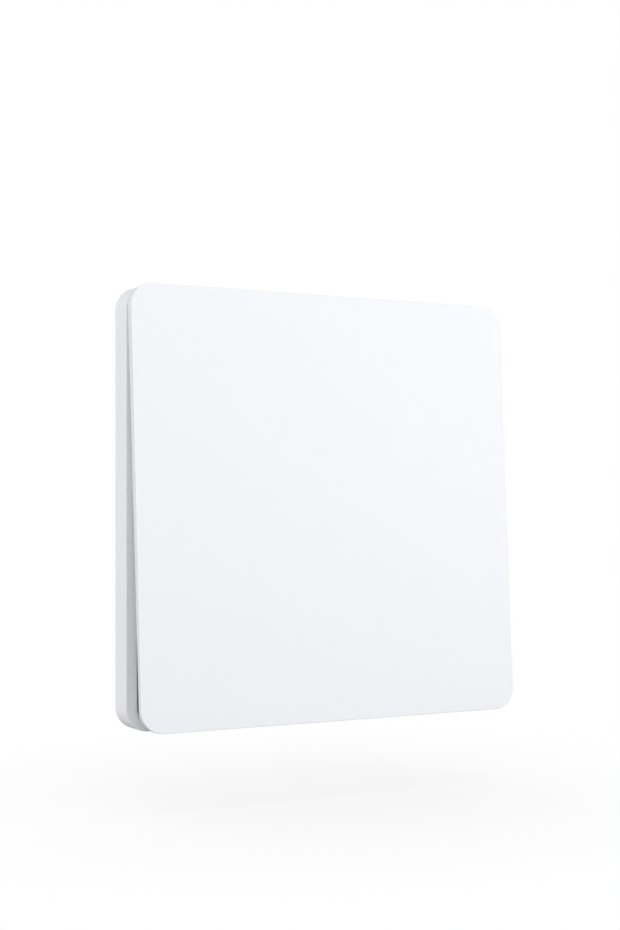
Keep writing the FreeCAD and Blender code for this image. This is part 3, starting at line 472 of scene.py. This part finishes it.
def woundCopper(values):
    # enamelled wire laid side by side: a ridge for each turn, painted shade between turns, with a drift in the gloss
    colour, rough = values["colour"], values["roughness"]
    finish = Finish("copperWire", colour, rough, 1.0)
    turns = finish.bands("Z", values["turnsPerMetre"])
    drift = finish.noise(values["driftPerMetre"], values["driftDetail"])
    finish.colours(turns, (0.0, tinted(colour, values["shadeBetweenTurns"])), (values["ridgeFrom"], colour))
    finish.roughness(drift, rough - values["glossier"], rough + values["duller"])
    finish.relief(turns, values["turnDepth"], values["turnStrength"])
    finish.shader.inputs["Coat Weight"].default_value = values["varnish"]
    return finish.material


copperWire = woundCopper({
    "colour": (0.72, 0.36, 0.18), "roughness": 0.30, "glossier": 0.06, "duller": 0.10,
    "turnsPerMetre": 5000.0, "driftPerMetre": 900.0, "driftDetail": 2.0,
    "shadeBetweenTurns": 0.35, "ridgeFrom": 0.6, "turnDepth": 0.00006, "turnStrength": 0.8, "varnish": 0.6,
})


def maskedBoard(values):
    # green solder mask over long thin tracks laid side by side, each ending a little before the next
    colour = values["colour"]
    finish = Finish("boardGreen", colour, values["roughness"])
    tracks = finish.nodes.new("ShaderNodeTexBrick")
    tracks.offset = values["trackOffset"]
    tracks.inputs["Scale"].default_value = values["tracksPerMetre"]
    tracks.inputs["Brick Width"].default_value = values["trackLength"]
    tracks.inputs["Row Height"].default_value = values["trackSpacing"]
    tracks.inputs["Mortar Size"].default_value = values["trackGap"]
    for socket, amount in zip(("Color1", "Color2", "Mortar"), values["tints"]):
        tracks.inputs[socket].default_value = (*tinted(colour, amount), 1.0)
    facing = finish.mapped("Rotation", (math.radians(90), 0.0, 0.0))  # the pattern turned to face out
    finish.links.new(facing, tracks.inputs["Vector"])
    finish.links.new(tracks.outputs["Color"], finish.shader.inputs["Base Color"])
    finish.relief(tracks.outputs["Fac"], values["trackRelief"], values["trackStrength"])
    finish.shader.inputs["Coat Weight"].default_value = values["lacquer"]
    return finish.material


boardGreen = maskedBoard({
    "colour": (0.045, 0.20, 0.11), "roughness": 0.35, "lacquer": 0.35,
    "tracksPerMetre": 300.0, "trackLength": 3.1, "trackSpacing": 0.17, "trackGap": 0.025, "trackOffset": 0.37,
    "tints": (1.12, 1.04, 0.85), "trackRelief": -0.00003, "trackStrength": 0.5,
})


packageGrain = {
    "flecksPerMetre": 9000.0,
    "fleckDetail": 2.0,
    "fleckErosion": 0.7,
    "fleckStops": (0.45, 0.8),
    "fleckTint": 1.35,
    "glossSpread": 0.08,
    "fleckDepth": 0.00002,
    "fleckStrength": 0.4,
}


def mouldedPackage(name, colour, rough):
    # fine sand-like grain of a moulded chip, with slightly lighter flecks
    dark, light = packageGrain["fleckStops"]
    finish = Finish(name, colour, rough)
    flecks = finish.noise(packageGrain["flecksPerMetre"], packageGrain["fleckDetail"], packageGrain["fleckErosion"])
    finish.colours(flecks, (dark, colour), (light, tinted(colour, packageGrain["fleckTint"])))
    finish.roughness(flecks, rough - packageGrain["glossSpread"], rough + packageGrain["glossSpread"])
    finish.relief(flecks, packageGrain["fleckDepth"], packageGrain["fleckStrength"])
    return finish.material


chipBlack = mouldedPackage("chipBlack", (0.04, 0.04, 0.045), 0.55)
capacitorYellow = mouldedPackage("capacitorYellow", (0.75, 0.55, 0.12), 0.45)

nodeFinishes = {
    "wall_plate": platePlastic, "base_housing": trayPlastic, "sealing_gasket": siliconeRubber,
    "module_cover": coverPlastic, "cover_screws": screwSteel, "generator_frame": bobbinPlastic,
    "iron_core": coreSteel, "coil_bobbin": bobbinPlastic, "coil_winding": copperWire,
    "coil_leads": copperWire, "circuit_board": boardGreen, "radio_chip": chipBlack,
    "storage_capacitor": capacitorYellow, "rectifier": chipBlack, "crystal": canMetal,
    "antenna": springSteel, "stop_pad_left": siliconeRubber, "stop_pad_right": siliconeRubber,
    "return_spring_left": springSteel, "return_spring_right": springSteel, "rocker_cap": capPlastic,
    "rocker_frame": innerSlitShade, "magnet": magnetNickel, "front_pole_plate": coreSteel,
    "rear_pole_plate": coreSteel, "magnet_carrier": bobbinPlastic, "drive_spring": springSteel,
}
for nodeName, finishMaterial in nodeFinishes.items():
    for holder in partsOf(nodeName):
        for materialSlot in getattr(holder, "material_slots", ()):
            materialSlot.material = finishMaterial

print("stage 2: the finishes are made")


# Rocker cap: the smooth face, its edge thinner along the bottom, and four pegs behind it

capValues = {
    "front": 9.73,
    "edgeTop": 2.0,
    "edgeBottom": 1.25,
    "edgeRound": 0.13,
    "sideDraft": 0.02,
    "backRound": 0.05,
    "innerArcStart": 0.4,
    "innerArcPoints": 3,
    "skirt": 1.4,
    "underside": 8.53,
    "leastStep": 0.005,
    "pegBack": 7.43,
    "pegRadius": 1.2,
    "pegChamfer": 0.2,
    "pegSunk": 0.2,
    "pegAcross": 33.0,
    "pegUp": 31.0,
    "cornerSteps": 24,
    "edgeSteps": 8,
    "backSteps": 3,
    "paintedShadeFrom": -0.2,     # faces whose normal points out less than this take the side's darker finish, painted shade
}


def capSurface(v):
    # a rounded square carried through insets and depths: over the face, round its edge, down the side, which
    # draws in a little, to a back edge that lies on a slope, in along that slope, and up to the flat underside
    half, corner, front = shared["halfFace"], shared["corner"], v["front"]
    small, skirt = v["backRound"], v["skirt"]
    innerArc = (0.0, *np.linspace(v["innerArcStart"], math.pi / 2, v["innerArcPoints"]))
    rows = [(inset, front - drop, False) for inset, drop in quarter(v["edgeRound"], "top", v["edgeSteps"])]
    rows += [(v["sideDraft"] + inset, drop, True) for inset, drop in quarter(small, "side", v["backSteps"])]
    rows += [(skirt - small * (1 - math.sin(angle)), small * (1 - math.cos(angle)), True) for angle in innerArc]
    loops = []
    for inset, depth, onSlope in rows:
        loop = roundedLoop(half - inset, half - inset, corner - inset, v["cornerSteps"])
        high = (loop[:, 1] + half) / (2 * half)
        slope = front - v["edgeBottom"] + (v["edgeBottom"] - v["edgeTop"]) * high
        loops.append(laidOut(loop, np.minimum(slope + depth if onSlope else depth, front)))
    inner = roundedLoop(half - skirt, half - skirt, corner - skirt, v["cornerSteps"])
    loops.append(laidOut(inner, np.maximum(-loops[-1][:, 1] + v["leastStep"], v["underside"])))
    peg = [(v["pegRadius"] - v["pegChamfer"], v["pegBack"]), (v["pegRadius"], v["pegBack"] + v["pegChamfer"]),
           (v["pegRadius"], v["underside"] + v["pegSunk"])]
    pegs = [turned((across * v["pegAcross"], up * v["pegUp"]), peg) for across in (-1, 1) for up in (-1, 1)]
    points, faces = together([skin(np.array(loops))] + pegs)
    return tilted(points, -shared["restTilt"], shared["hingeDepth"], shared["hingeUp"]), faces


capPiece = objectFrom("rockerCap", capSurface(capValues))
finished(capPiece, "rocker", capPlastic, "white_shell", "rocker_cap")
# the cap's sides take the darker copy: painted shade
paintedShadeFinish(capPiece, capSidePaintedShade, lambda centres, normals: normals[:, 1] > capValues["paintedShadeFrom"])
print("stage 3: rocker cap")


# Tray: the open housing behind the cap, with everything that stands on its floor

trayValues = {
    "back": 1.5,
    "rim": 2.2,
    "edgeRound": 0.04,
    "innerRound": 0.04,
    "floorFillet": 0.3,
    "cornerSteps": 24,
    "edgeSteps": 4,
    "rimSteps": 5,
    "sunk": 0.3,          # what stands on the floor starts this far inside it
    "underRim": 0.02,     # ears and lugs end this far below the rim
    "behind": 1.0,        # cuts through the floor start at this depth, behind it
    "dome": {"across": 30.0, "half": (6.5, 5.5), "top": 5.0, "corner": 1.6, "edge": 0.4},
    "hollow": {"wall": 0.8, "corner": 0.8, "edge": 0.3},
    "springPost": {"place": (22.0, -27.0), "profile": ((1.6, 3.7), (1.4, 3.9))},
    "padPost": {"place": (28.0, -34.0), "half": (2.6, 2.6), "top": 5.63, "corner": 0.25, "edge": 0.12},
    "padHole": {"radius": 1.59, "deep": 1.4, "front": 7.5},
    "ear": {"inner": 32.0, "outer": 34.4, "halfUp": 2.4, "corner": 0.2, "edge": 0.15},
    "lug": {"inner": 37.6, "outer": 41.3, "halfUp": 3.0, "corner": 0.2, "edge": 0.15, "up": 8.0, "back": 6.0},
    "bossPlaces": ((18.25, 29.9), (-18.25, 29.9), (18.25, -12.9), (-18.25, -12.9)),
    "boss": {"radius": 2.2, "top": 4.3, "chamfer": 0.1},
    "screwHole": ((1.0, 2.6), (1.0, 6.0)),
    "hookSlot": {"across": 20.0, "up": 36.5, "half": (2.2, 0.7), "front": 3.0, "corner": 0.1, "edge": 0.05},
    "bearing": {"bore": 1.30, "mouth": 1.06, "front": 7.6, "past": 0.3, "steps": 28},
    "notch": {"place": (0.0, -43.0), "half": (4.0, 1.1), "front": 2.5, "corner": 0.1, "edge": 0.05},
    "rimBeyond": -1.6,    # faces further out than this, and
    "rimFrom": -0.8,      # with a normal that points out more than this, take the rim's darker finish, painted shade
}


def traySurface(v):
    # a rounded square carried from the back, round the outer edge, up the wall, over the rim and down to the floor
    half, rim, steps = shared["halfFace"], v["rim"], v["edgeSteps"]
    floorFront, rimFront = shared["floorFront"], shared["rimFront"]
    rows = [(inset, v["back"] + drop) for inset, drop in quarter(v["edgeRound"], "top", steps)]
    rows += [(inset, rimFront - drop) for inset, drop in quarter(v["edgeRound"], "side", v["rimSteps"])]
    rows += [(rim - inset, rimFront - drop) for inset, drop in quarter(v["innerRound"], "top", steps)]
    rows += [(rim + inset, floorFront + drop) for inset, drop in quarter(v["floorFillet"], "side", steps)]
    return carriedRound((0.0, 0.0), (half, half), shared["corner"], rows, v["cornerSteps"])


def sideBlock(side, part, up, back, front):
    # a block that reaches from the part's inner to its outer distance from the middle
    middle = side * (part["inner"] + part["outer"]) / 2
    halves = ((part["outer"] - part["inner"]) / 2, part["halfUp"])
    return block((middle, up), halves, back, front, part["corner"], part["edge"])


def trayStandings(v):
    # on each side a dome, a spring post, a pad post, an ear and a lug, and then the four screw bosses
    floor = shared["floorFront"] - v["sunk"]
    nearRim = shared["rimFront"] - v["underRim"]
    dome, spring, pad, ear, lug, boss = (v[name] for name in ("dome", "springPost", "padPost", "ear", "lug", "boss"))
    shapes = []
    for side in (-1, 1):
        shapes += [
            block((side * dome["across"], 0.0), dome["half"], floor, dome["top"], dome["corner"], dome["edge"]),
            turned((side * spring["place"][0], spring["place"][1]),
                   [(spring["profile"][0][0], floor), *spring["profile"]]),
            block((side * pad["place"][0], pad["place"][1]), pad["half"], floor, pad["top"],
                  pad["corner"], pad["edge"]),
            sideBlock(side, ear, shared["hingeUp"], floor, nearRim),
            sideBlock(side, lug, lug["up"], lug["back"], nearRim),
        ]
    profile = [(boss["radius"], floor), (boss["radius"], boss["top"] - boss["chamfer"]),
               (boss["radius"] - boss["chamfer"], boss["top"])]
    return together(shapes + [turned(place, profile) for place in v["bossPlaces"]])


def bearingOutline(v):
    # most of a circle for the pin, open towards the front through a mouth narrower than it
    bore, mouth = v["bore"], v["mouth"]
    start = math.asin(mouth / bore)
    angle = np.linspace(start, 2 * math.pi - start, v["steps"])
    depth = shared["hingeDepth"] + bore * np.cos(angle)
    up = shared["hingeUp"] + bore * np.sin(angle)
    top = [(v["front"], shared["hingeUp"] - mouth), (v["front"], shared["hingeUp"] + mouth)]
    return np.concatenate([np.stack([depth, up], axis=1), np.array(top)])


def trayOpenings(v):
    # dome hollows, hook slots, the pads' holes, the snap bearings' mouths, the screws' holes and the prying notch
    dome, hollow, slot, pad = v["dome"], v["hollow"], v["hookSlot"], v["padPost"]
    hole, bearing, notch = v["padHole"], v["bearing"], v["notch"]
    hollowHalf = tuple(half - hollow["wall"] for half in dome["half"])
    shapes = []
    for side in (-1, 1):
        shapes.append(block((side * dome["across"], 0.0), hollowHalf, v["behind"], dome["top"] - hollow["wall"],
                            hollow["corner"], hollow["edge"]))
        for up in (-1, 1):
            shapes.append(block((side * slot["across"], up * slot["up"]), slot["half"], v["behind"], slot["front"],
                                slot["corner"], slot["edge"]))
        shapes.append(turned((side * pad["place"][0], pad["place"][1]),
                             [(hole["radius"], pad["top"] - hole["deep"]), (hole["radius"], hole["front"])]))
        shapes.append(prismAcross(bearingOutline(bearing), side * (v["ear"]["inner"] - bearing["past"]),
                                  side * (v["ear"]["outer"] + bearing["past"])))
    shapes += [turned(place, v["screwHole"]) for place in v["bossPlaces"]]
    shapes.append(block(notch["place"], notch["half"], v["behind"], notch["front"], notch["corner"], notch["edge"]))
    return together(shapes)


def shadedRimFaces(centres, normals):
    # true for faces of the tray's front that look out of the wall, which take the painted shade of the cap over them
    return (centres[:, 1] < trayValues["rimBeyond"]) & (normals[:, 1] < trayValues["rimFrom"])


trayPiece = objectFrom("trayHousing", traySurface(trayValues))
cutOrJoin(trayPiece, trayStandings(trayValues), "UNION")
cutOrJoin(trayPiece, trayOpenings(trayValues), "DIFFERENCE")
finished(trayPiece, "base", trayPlastic, "white_shell", "base_housing")
# the rim ledge takes the darker copy: painted shade under the cap's edge
paintedShadeFinish(trayPiece, rimPaintedShade, shadedRimFaces)
print("stage 4: tray")


# Wall plate: seen from behind, with its two slots, two tape recesses and four hooks

plateValues = {
    "half": 38.0,
    "corner": 3.0,
    "cornerSteps": 12,
    "edgeRound": 0.25,
    "edgeSteps": 4,
    "hook": {"across": 20.0, "up": 36.0, "half": 2.0, "thick": 1.0, "root": 1.2, "tip": 3.2,
             "barb": 0.6, "barbBack": 2.55},
    "slot": {"across": 30.0, "half": (4.5, 2.1), "corner": 2.09},
    "recess": {"up": 19.0, "half": (26.0, 8.0), "depth": 0.3, "corner": 0.3},
    "cutFrom": -0.5,
    "cutTo": 2.0,
    "cutEdge": 0.05,
}


def plateSurface(v):
    # a rounded square carried from the back to the front, both its edges rounded
    rows = quarter(v["edgeRound"], "top", v["edgeSteps"])
    rows += [(inset, shared["plateFront"] - drop) for inset, drop in quarter(v["edgeRound"], "side", v["edgeSteps"])]
    return carriedRound((0.0, 0.0), (v["half"], v["half"]), v["corner"], rows, v["cornerSteps"])


def plateHooks(v):
    # each hook is a flat outline of stem, tip and barb, carried straight across
    shapes = []
    for side in (-1, 1):
        for up in (-1, 1):
            near = v["up"] * up
            far = near + v["thick"] * up
            outline = [(v["root"], near), (v["tip"], near), (v["tip"], far), (v["barbBack"], far + v["barb"] * up),
                       (v["barbBack"], far), (v["root"], far)]
            middle = v["across"] * side
            shapes.append(prismAcross(outline, middle - v["half"], middle + v["half"]))
    return together(shapes)


def plateOpenings(v):
    # two long slots right through, and two shallow recesses in the back for tape
    slot, recess = v["slot"], v["recess"]
    shapes = []
    for side in (-1, 1):
        shapes.append(block((slot["across"] * side, 0.0), slot["half"], v["cutFrom"], v["cutTo"],
                            slot["corner"], v["cutEdge"]))
        shapes.append(block((0.0, recess["up"] * side), recess["half"], v["cutFrom"], recess["depth"],
                            recess["corner"], v["cutEdge"]))
    return together(shapes)


platePiece = objectFrom("wallPlate", plateSurface(plateValues))
cutOrJoin(platePiece, plateHooks(plateValues["hook"]), "UNION")
cutOrJoin(platePiece, plateOpenings(plateValues), "DIFFERENCE")
finished(platePiece, "base", platePlastic, "white_shell", "wall_plate")
print("stage 5: wall plate")


# Rocker frame and module cover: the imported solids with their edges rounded

softenedEdges = {"rockerFrame": 0.12, "moduleCover": 0.15}

framePiece = softened("rockerFrame", "rocker_frame", softenedEdges["rockerFrame"], finishingValues)
finished(framePiece, "rocker", innerSlitShade, "inner_grey", "rocker_frame")

coverPiece = softened("moduleCover", "module_cover", softenedEdges["moduleCover"], finishingValues)
finished(coverPiece, "base", coverPlastic, "cover_grey", "module_cover")


# Springs and aerial: round wire along a helix

def wireAlong(path, axis, v):
    # a circle carried along the path, its two cross directions worked out from the path's own direction
    along = np.gradient(path, axis=0)
    along /= np.linalg.norm(along, axis=1, keepdims=True)
    across = np.cross(np.array(axis, float), along)
    across /= np.linalg.norm(across, axis=1, keepdims=True)
    up = np.cross(along, across)
    angle = np.linspace(0.0, 2 * math.pi, v["sides"], endpoint=False)[None, :, None]
    circle = across[:, None, :] * np.cos(angle) + up[:, None, :] * np.sin(angle)
    return skin(path[:, None, :] + v["wire"] * circle)


def helix(v, steps=40):
    # two cross places and the height along a helix whose end turns lie a pitch apart, and the others wider
    turns, closed = v["turns"], v["closedTurns"]
    length = v["length"] - 2 * v["wire"]
    done = np.linspace(0.0, turns, int(turns * steps) + 1)
    low = np.minimum(done, closed)
    high = np.maximum(done - (turns - closed), 0.0)
    middle = done - low - high
    rise = (low + high) * v["pitch"] + (length - 2 * closed * v["pitch"]) * middle / (turns - 2 * closed)
    angle = 2 * math.pi * done
    return v["radius"] * np.cos(angle), v["radius"] * np.sin(angle), rise


springValues = {
    "across": 22.0,
    "up": -27.0,
    "radius": 2.25,
    "wire": 0.25,
    "sides": 14,
    "turns": 5.5,
    "closedTurns": 0.75,
    "pitch": 0.55,
    "length": 8.34,
    "keep": 0.58,
}


def springPiece(name, node, side, v):
    # a helix that stands out from the tray's floor
    across, up, out = helix(v)
    start = shared["floorFront"] + v["wire"]
    path = np.stack([v["across"] * side + across, -(start + out), v["up"] + up], axis=1)
    piece = objectFrom(name, wireAlong(path, (0, 1, 0), v))
    finished(piece, "base", springSteel, "spring_steel", node)
    piece.modifiers.clear()
    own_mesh(piece)


springPiece("returnSpringLeft", "return_spring_left", -1, springValues)
springPiece("returnSpringRight", "return_spring_right", 1, springValues)

antennaValues = {
    "across": -10.55,
    "low": -7.8,
    "radius": 1.2,
    "wire": 0.25,
    "sides": 10,
    "turns": 5.0,
    "closedTurns": 0.0,
    "pitch": 0.0,
    "length": 8.0,
    "boardFront": 4.3,
    "gap": 0.05,
}


def antennaPiece(v):
    # a helix that stands upright, a little in front of the board
    across, out, up = helix(v)
    middle = v["boardFront"] + v["radius"] + v["wire"] + v["gap"]
    path = np.stack([v["across"] + across, -middle + out, v["low"] + v["wire"] + up], axis=1)
    piece = objectFrom("antennaCoil", wireAlong(path, (0, 0, 1), v))
    finished(piece, "base", springSteel, "spring_steel", "antenna")


antennaPiece(antennaValues)
print("stage 6: springs and aerial")


# Cover screws: a threaded shank under a hexagon head with a chamfered top and a hexagon socket

screwValues = {
    "places": trayValues["bossPlaces"],
    "tip": 2.8,
    "tipRadius": 0.25,
    "tipLength": 0.2,
    "threadFrom": 0.25,
    "threadTo": 0.15,
    "threadRows": 56,
    "seat": 5.3,
    "front": 6.3,
    "shank": 0.95,
    "thread": 0.12,
    "pitch": 0.4,
    "head": 1.7,
    "chamfer": 0.18,
    "crown": ((0.03, 1.4, 0.6), (0.0, 1.7, 0.5)),  # depth, how many chamfers in, and share of hexagon
    "socket": 0.85,
    "socketLip": 0.06,
    "socketDepth": 0.55,
    "socketCone": (0.12, 0.1),
    "around": 72,
}


def screwSurface(place, v):
    # each row has a depth, a radius, a share of hexagon and a share of thread: the hexagon share pulls the radius in
    # between six corners, and the thread share takes a wave off it that climbs one pitch in each turn
    tip, seat, front, head, socket = (v[name] for name in ("tip", "seat", "front", "head", "socket"))
    core, bottom = v["shank"] - v["thread"], front - v["socketDepth"]
    shank = [(depth, v["shank"], 0, 1)
             for depth in np.linspace(tip + v["threadFrom"], seat - v["threadTo"], v["threadRows"])]
    crown = [(front - down, head - v["chamfer"] * chamfers, share, 0) for down, chamfers, share in v["crown"]]
    rows = [(tip, v["tipRadius"], 0, 0), (tip + v["tipLength"], core, 0, 0), *shank, (seat, core, 0, 0),
            (seat, head, 1, 0), (front - v["chamfer"], head, 1, 0), *crown,
            (front, socket + v["socketLip"], 1, 0), (front - v["socketLip"], socket, 1, 0),
            (bottom, socket, 1, 0), (bottom - v["socketCone"][0], v["socketCone"][1], 0, 0)]
    depth, radius, hexagon, thread = [column[:, None] for column in np.array(rows, float).T]
    angle = np.linspace(0.0, 2 * math.pi, v["around"], endpoint=False)[None, :]
    sixSided = math.cos(math.pi / 6) / np.cos(np.mod(angle, math.pi / 3) - math.pi / 6)
    wave = 0.5 + 0.5 * np.cos(2 * math.pi * depth / v["pitch"] - angle)
    radius = radius * (1 + hexagon * (sixSided - 1)) - thread * v["thread"] * wave
    across, up = place[0] + radius * np.cos(angle), place[1] + radius * np.sin(angle)
    return skin(np.stack([across, -depth + 0 * angle, up], axis=-1))


screws = [screwSurface(place, screwValues) for place in screwValues["places"]]
screwPiece = objectFrom("coverScrews", together(screws))
finished(screwPiece, "base", screwSteel, "screw_steel", "cover_screws")
print("stage 7: cover screws")


# Floor, white surroundings, light and camera

stageValues = {
    "floorUp": -0.058,
    "floorSize": 6.0,
    "floorColour": (0.28, 0.28, 0.29),
    "floorRoughness": 0.9,
    "shadowReach": 0.09,
    "shadowWhite": 0.75,
}


def whiteToTheCamera(tree, surface, white, output):
    # straight, mirrored and passing rays see the white, and all other rays see the surface
    path = tree.nodes.new("ShaderNodeLightPath")
    white.inputs["Color"].default_value = (1.0, 1.0, 1.0, 1.0)
    rays = path.outputs["Is Camera Ray"]
    for kind in ("Is Glossy Ray", "Is Transmission Ray"):
        either = tree.nodes.new("ShaderNodeMath")
        either.operation = "MAXIMUM"
        tree.links.new(rays, either.inputs[0])
        tree.links.new(path.outputs[kind], either.inputs[1])
        rays = either.outputs[0]
    mix = tree.nodes.new("ShaderNodeMixShader")
    tree.links.new(rays, mix.inputs[0])
    tree.links.new(surface.outputs[0], mix.inputs[1])
    tree.links.new(white.outputs[0], mix.inputs[2])
    tree.links.new(mix.outputs[0], output.inputs["Surface"])


def shadedWhite(tree, v):
    # a white that is a little darker where the object stands close over the floor
    white = tree.nodes.new("ShaderNodeEmission")
    shade = tree.nodes.new("ShaderNodeAmbientOcclusion")
    shade.inputs["Distance"].default_value = v["shadowReach"]
    depth = tree.nodes.new("ShaderNodeMapRange")
    depth.inputs["To Min"].default_value = v["shadowWhite"]
    tree.links.new(shade.outputs["AO"], depth.inputs["Value"])
    tree.links.new(depth.outputs["Result"], white.inputs["Strength"])
    return white


def makeStage(v):
    # one flat square under the object, grey to the light and white to the camera
    size, up = v["floorSize"] / 2, v["floorUp"]
    mesh = bpy.data.meshes.new("paleFloor")
    mesh.from_pydata([(-size, -size, up), (size, -size, up), (size, size, up), (-size, size, up)], [], [(0, 1, 2, 3)])
    floor = newObject("paleFloor", mesh)
    material = bpy.data.materials.new("paleFloor")
    material.use_nodes = True
    tree = material.node_tree
    shader = tree.nodes["Principled BSDF"]
    shader.inputs["Base Color"].default_value = (*v["floorColour"], 1.0)
    shader.inputs["Roughness"].default_value = v["floorRoughness"]
    whiteToTheCamera(tree, shader, shadedWhite(tree, v), tree.nodes["Material Output"])
    floor.data.materials.append(material)


lightValues = {
    "world": (0.98, 0.99, 1.0),
    "worldStrength": 0.30,
    "lamps": {
        "cameraSoftbox": {"place": (-0.40, -0.66, 0.22), "size": 0.40, "power": 2.24},
        "leftSoftbox": {"place": (-0.70, -0.16, 0.06), "size": 0.5, "power": 2.92},
        "topSoftbox": {"place": (0.20, -0.36, 0.34), "size": 0.3, "power": 0.30},
        "rightSoftbox": {"place": (0.55, -0.55, 0.12), "size": 0.5, "power": 2.45},
        "backFill": {"place": (0.55, 0.75, 0.10), "size": 0.4, "power": 6.0},
    },
}


def aimed(place, target):
    # the turn that points an object's own -Z from its place at the target
    return (Vector(target) - Vector(place)).to_track_quat("-Z", "Y").to_euler()


def makeLight(v):
    # an even pale world, and square lamps that all point at the object
    world = bpy.data.worlds.new("surroundings")
    bpy.context.scene.world = world
    world.use_nodes = True
    tree = world.node_tree
    plain = tree.nodes["Background"]
    plain.inputs["Color"].default_value = (*v["world"], 1.0)
    plain.inputs["Strength"].default_value = v["worldStrength"]
    whiteToTheCamera(tree, plain, tree.nodes.new("ShaderNodeBackground"), tree.nodes["World Output"])
    for name, lamp in v["lamps"].items():
        data = bpy.data.lights.new(name, "AREA")
        data.shape = "SQUARE"
        data.size = lamp["size"]
        data.energy = lamp["power"]
        holder = newObject(name, data)
        holder.location = lamp["place"]
        holder.rotation_euler = aimed(lamp["place"], (0.0, 0.0, 0.0))
        holder.visible_camera = False


cameraValues = {
    "place": (-0.16414, -0.29420, 0.00077),
    "looking": (0.49008, 0.87168, 0.0),
    "lens": 62.62,
    "sensor": 36.0,
    "shiftUp": 0.0425,
    "nearest": 0.01,
}


def makeCamera(v):
    # a level camera to the object's left
    data = bpy.data.cameras.new("photoCamera")
    data.lens = v["lens"]
    data.sensor_width = v["sensor"]
    data.shift_y = v["shiftUp"]
    data.clip_start = v["nearest"]
    camera = newObject("photoCamera", data)
    camera.location = v["place"]
    camera.rotation_euler = aimed(v["place"], np.add(v["place"], v["looking"]))
    bpy.context.scene.camera = camera


makeStage(stageValues)
makeLight(lightValues)
makeCamera(cameraValues)
bpy.context.scene.view_settings.view_transform = "Standard"
print("stage 8: floor, light and camera")

bpy.context.view_layer.update()
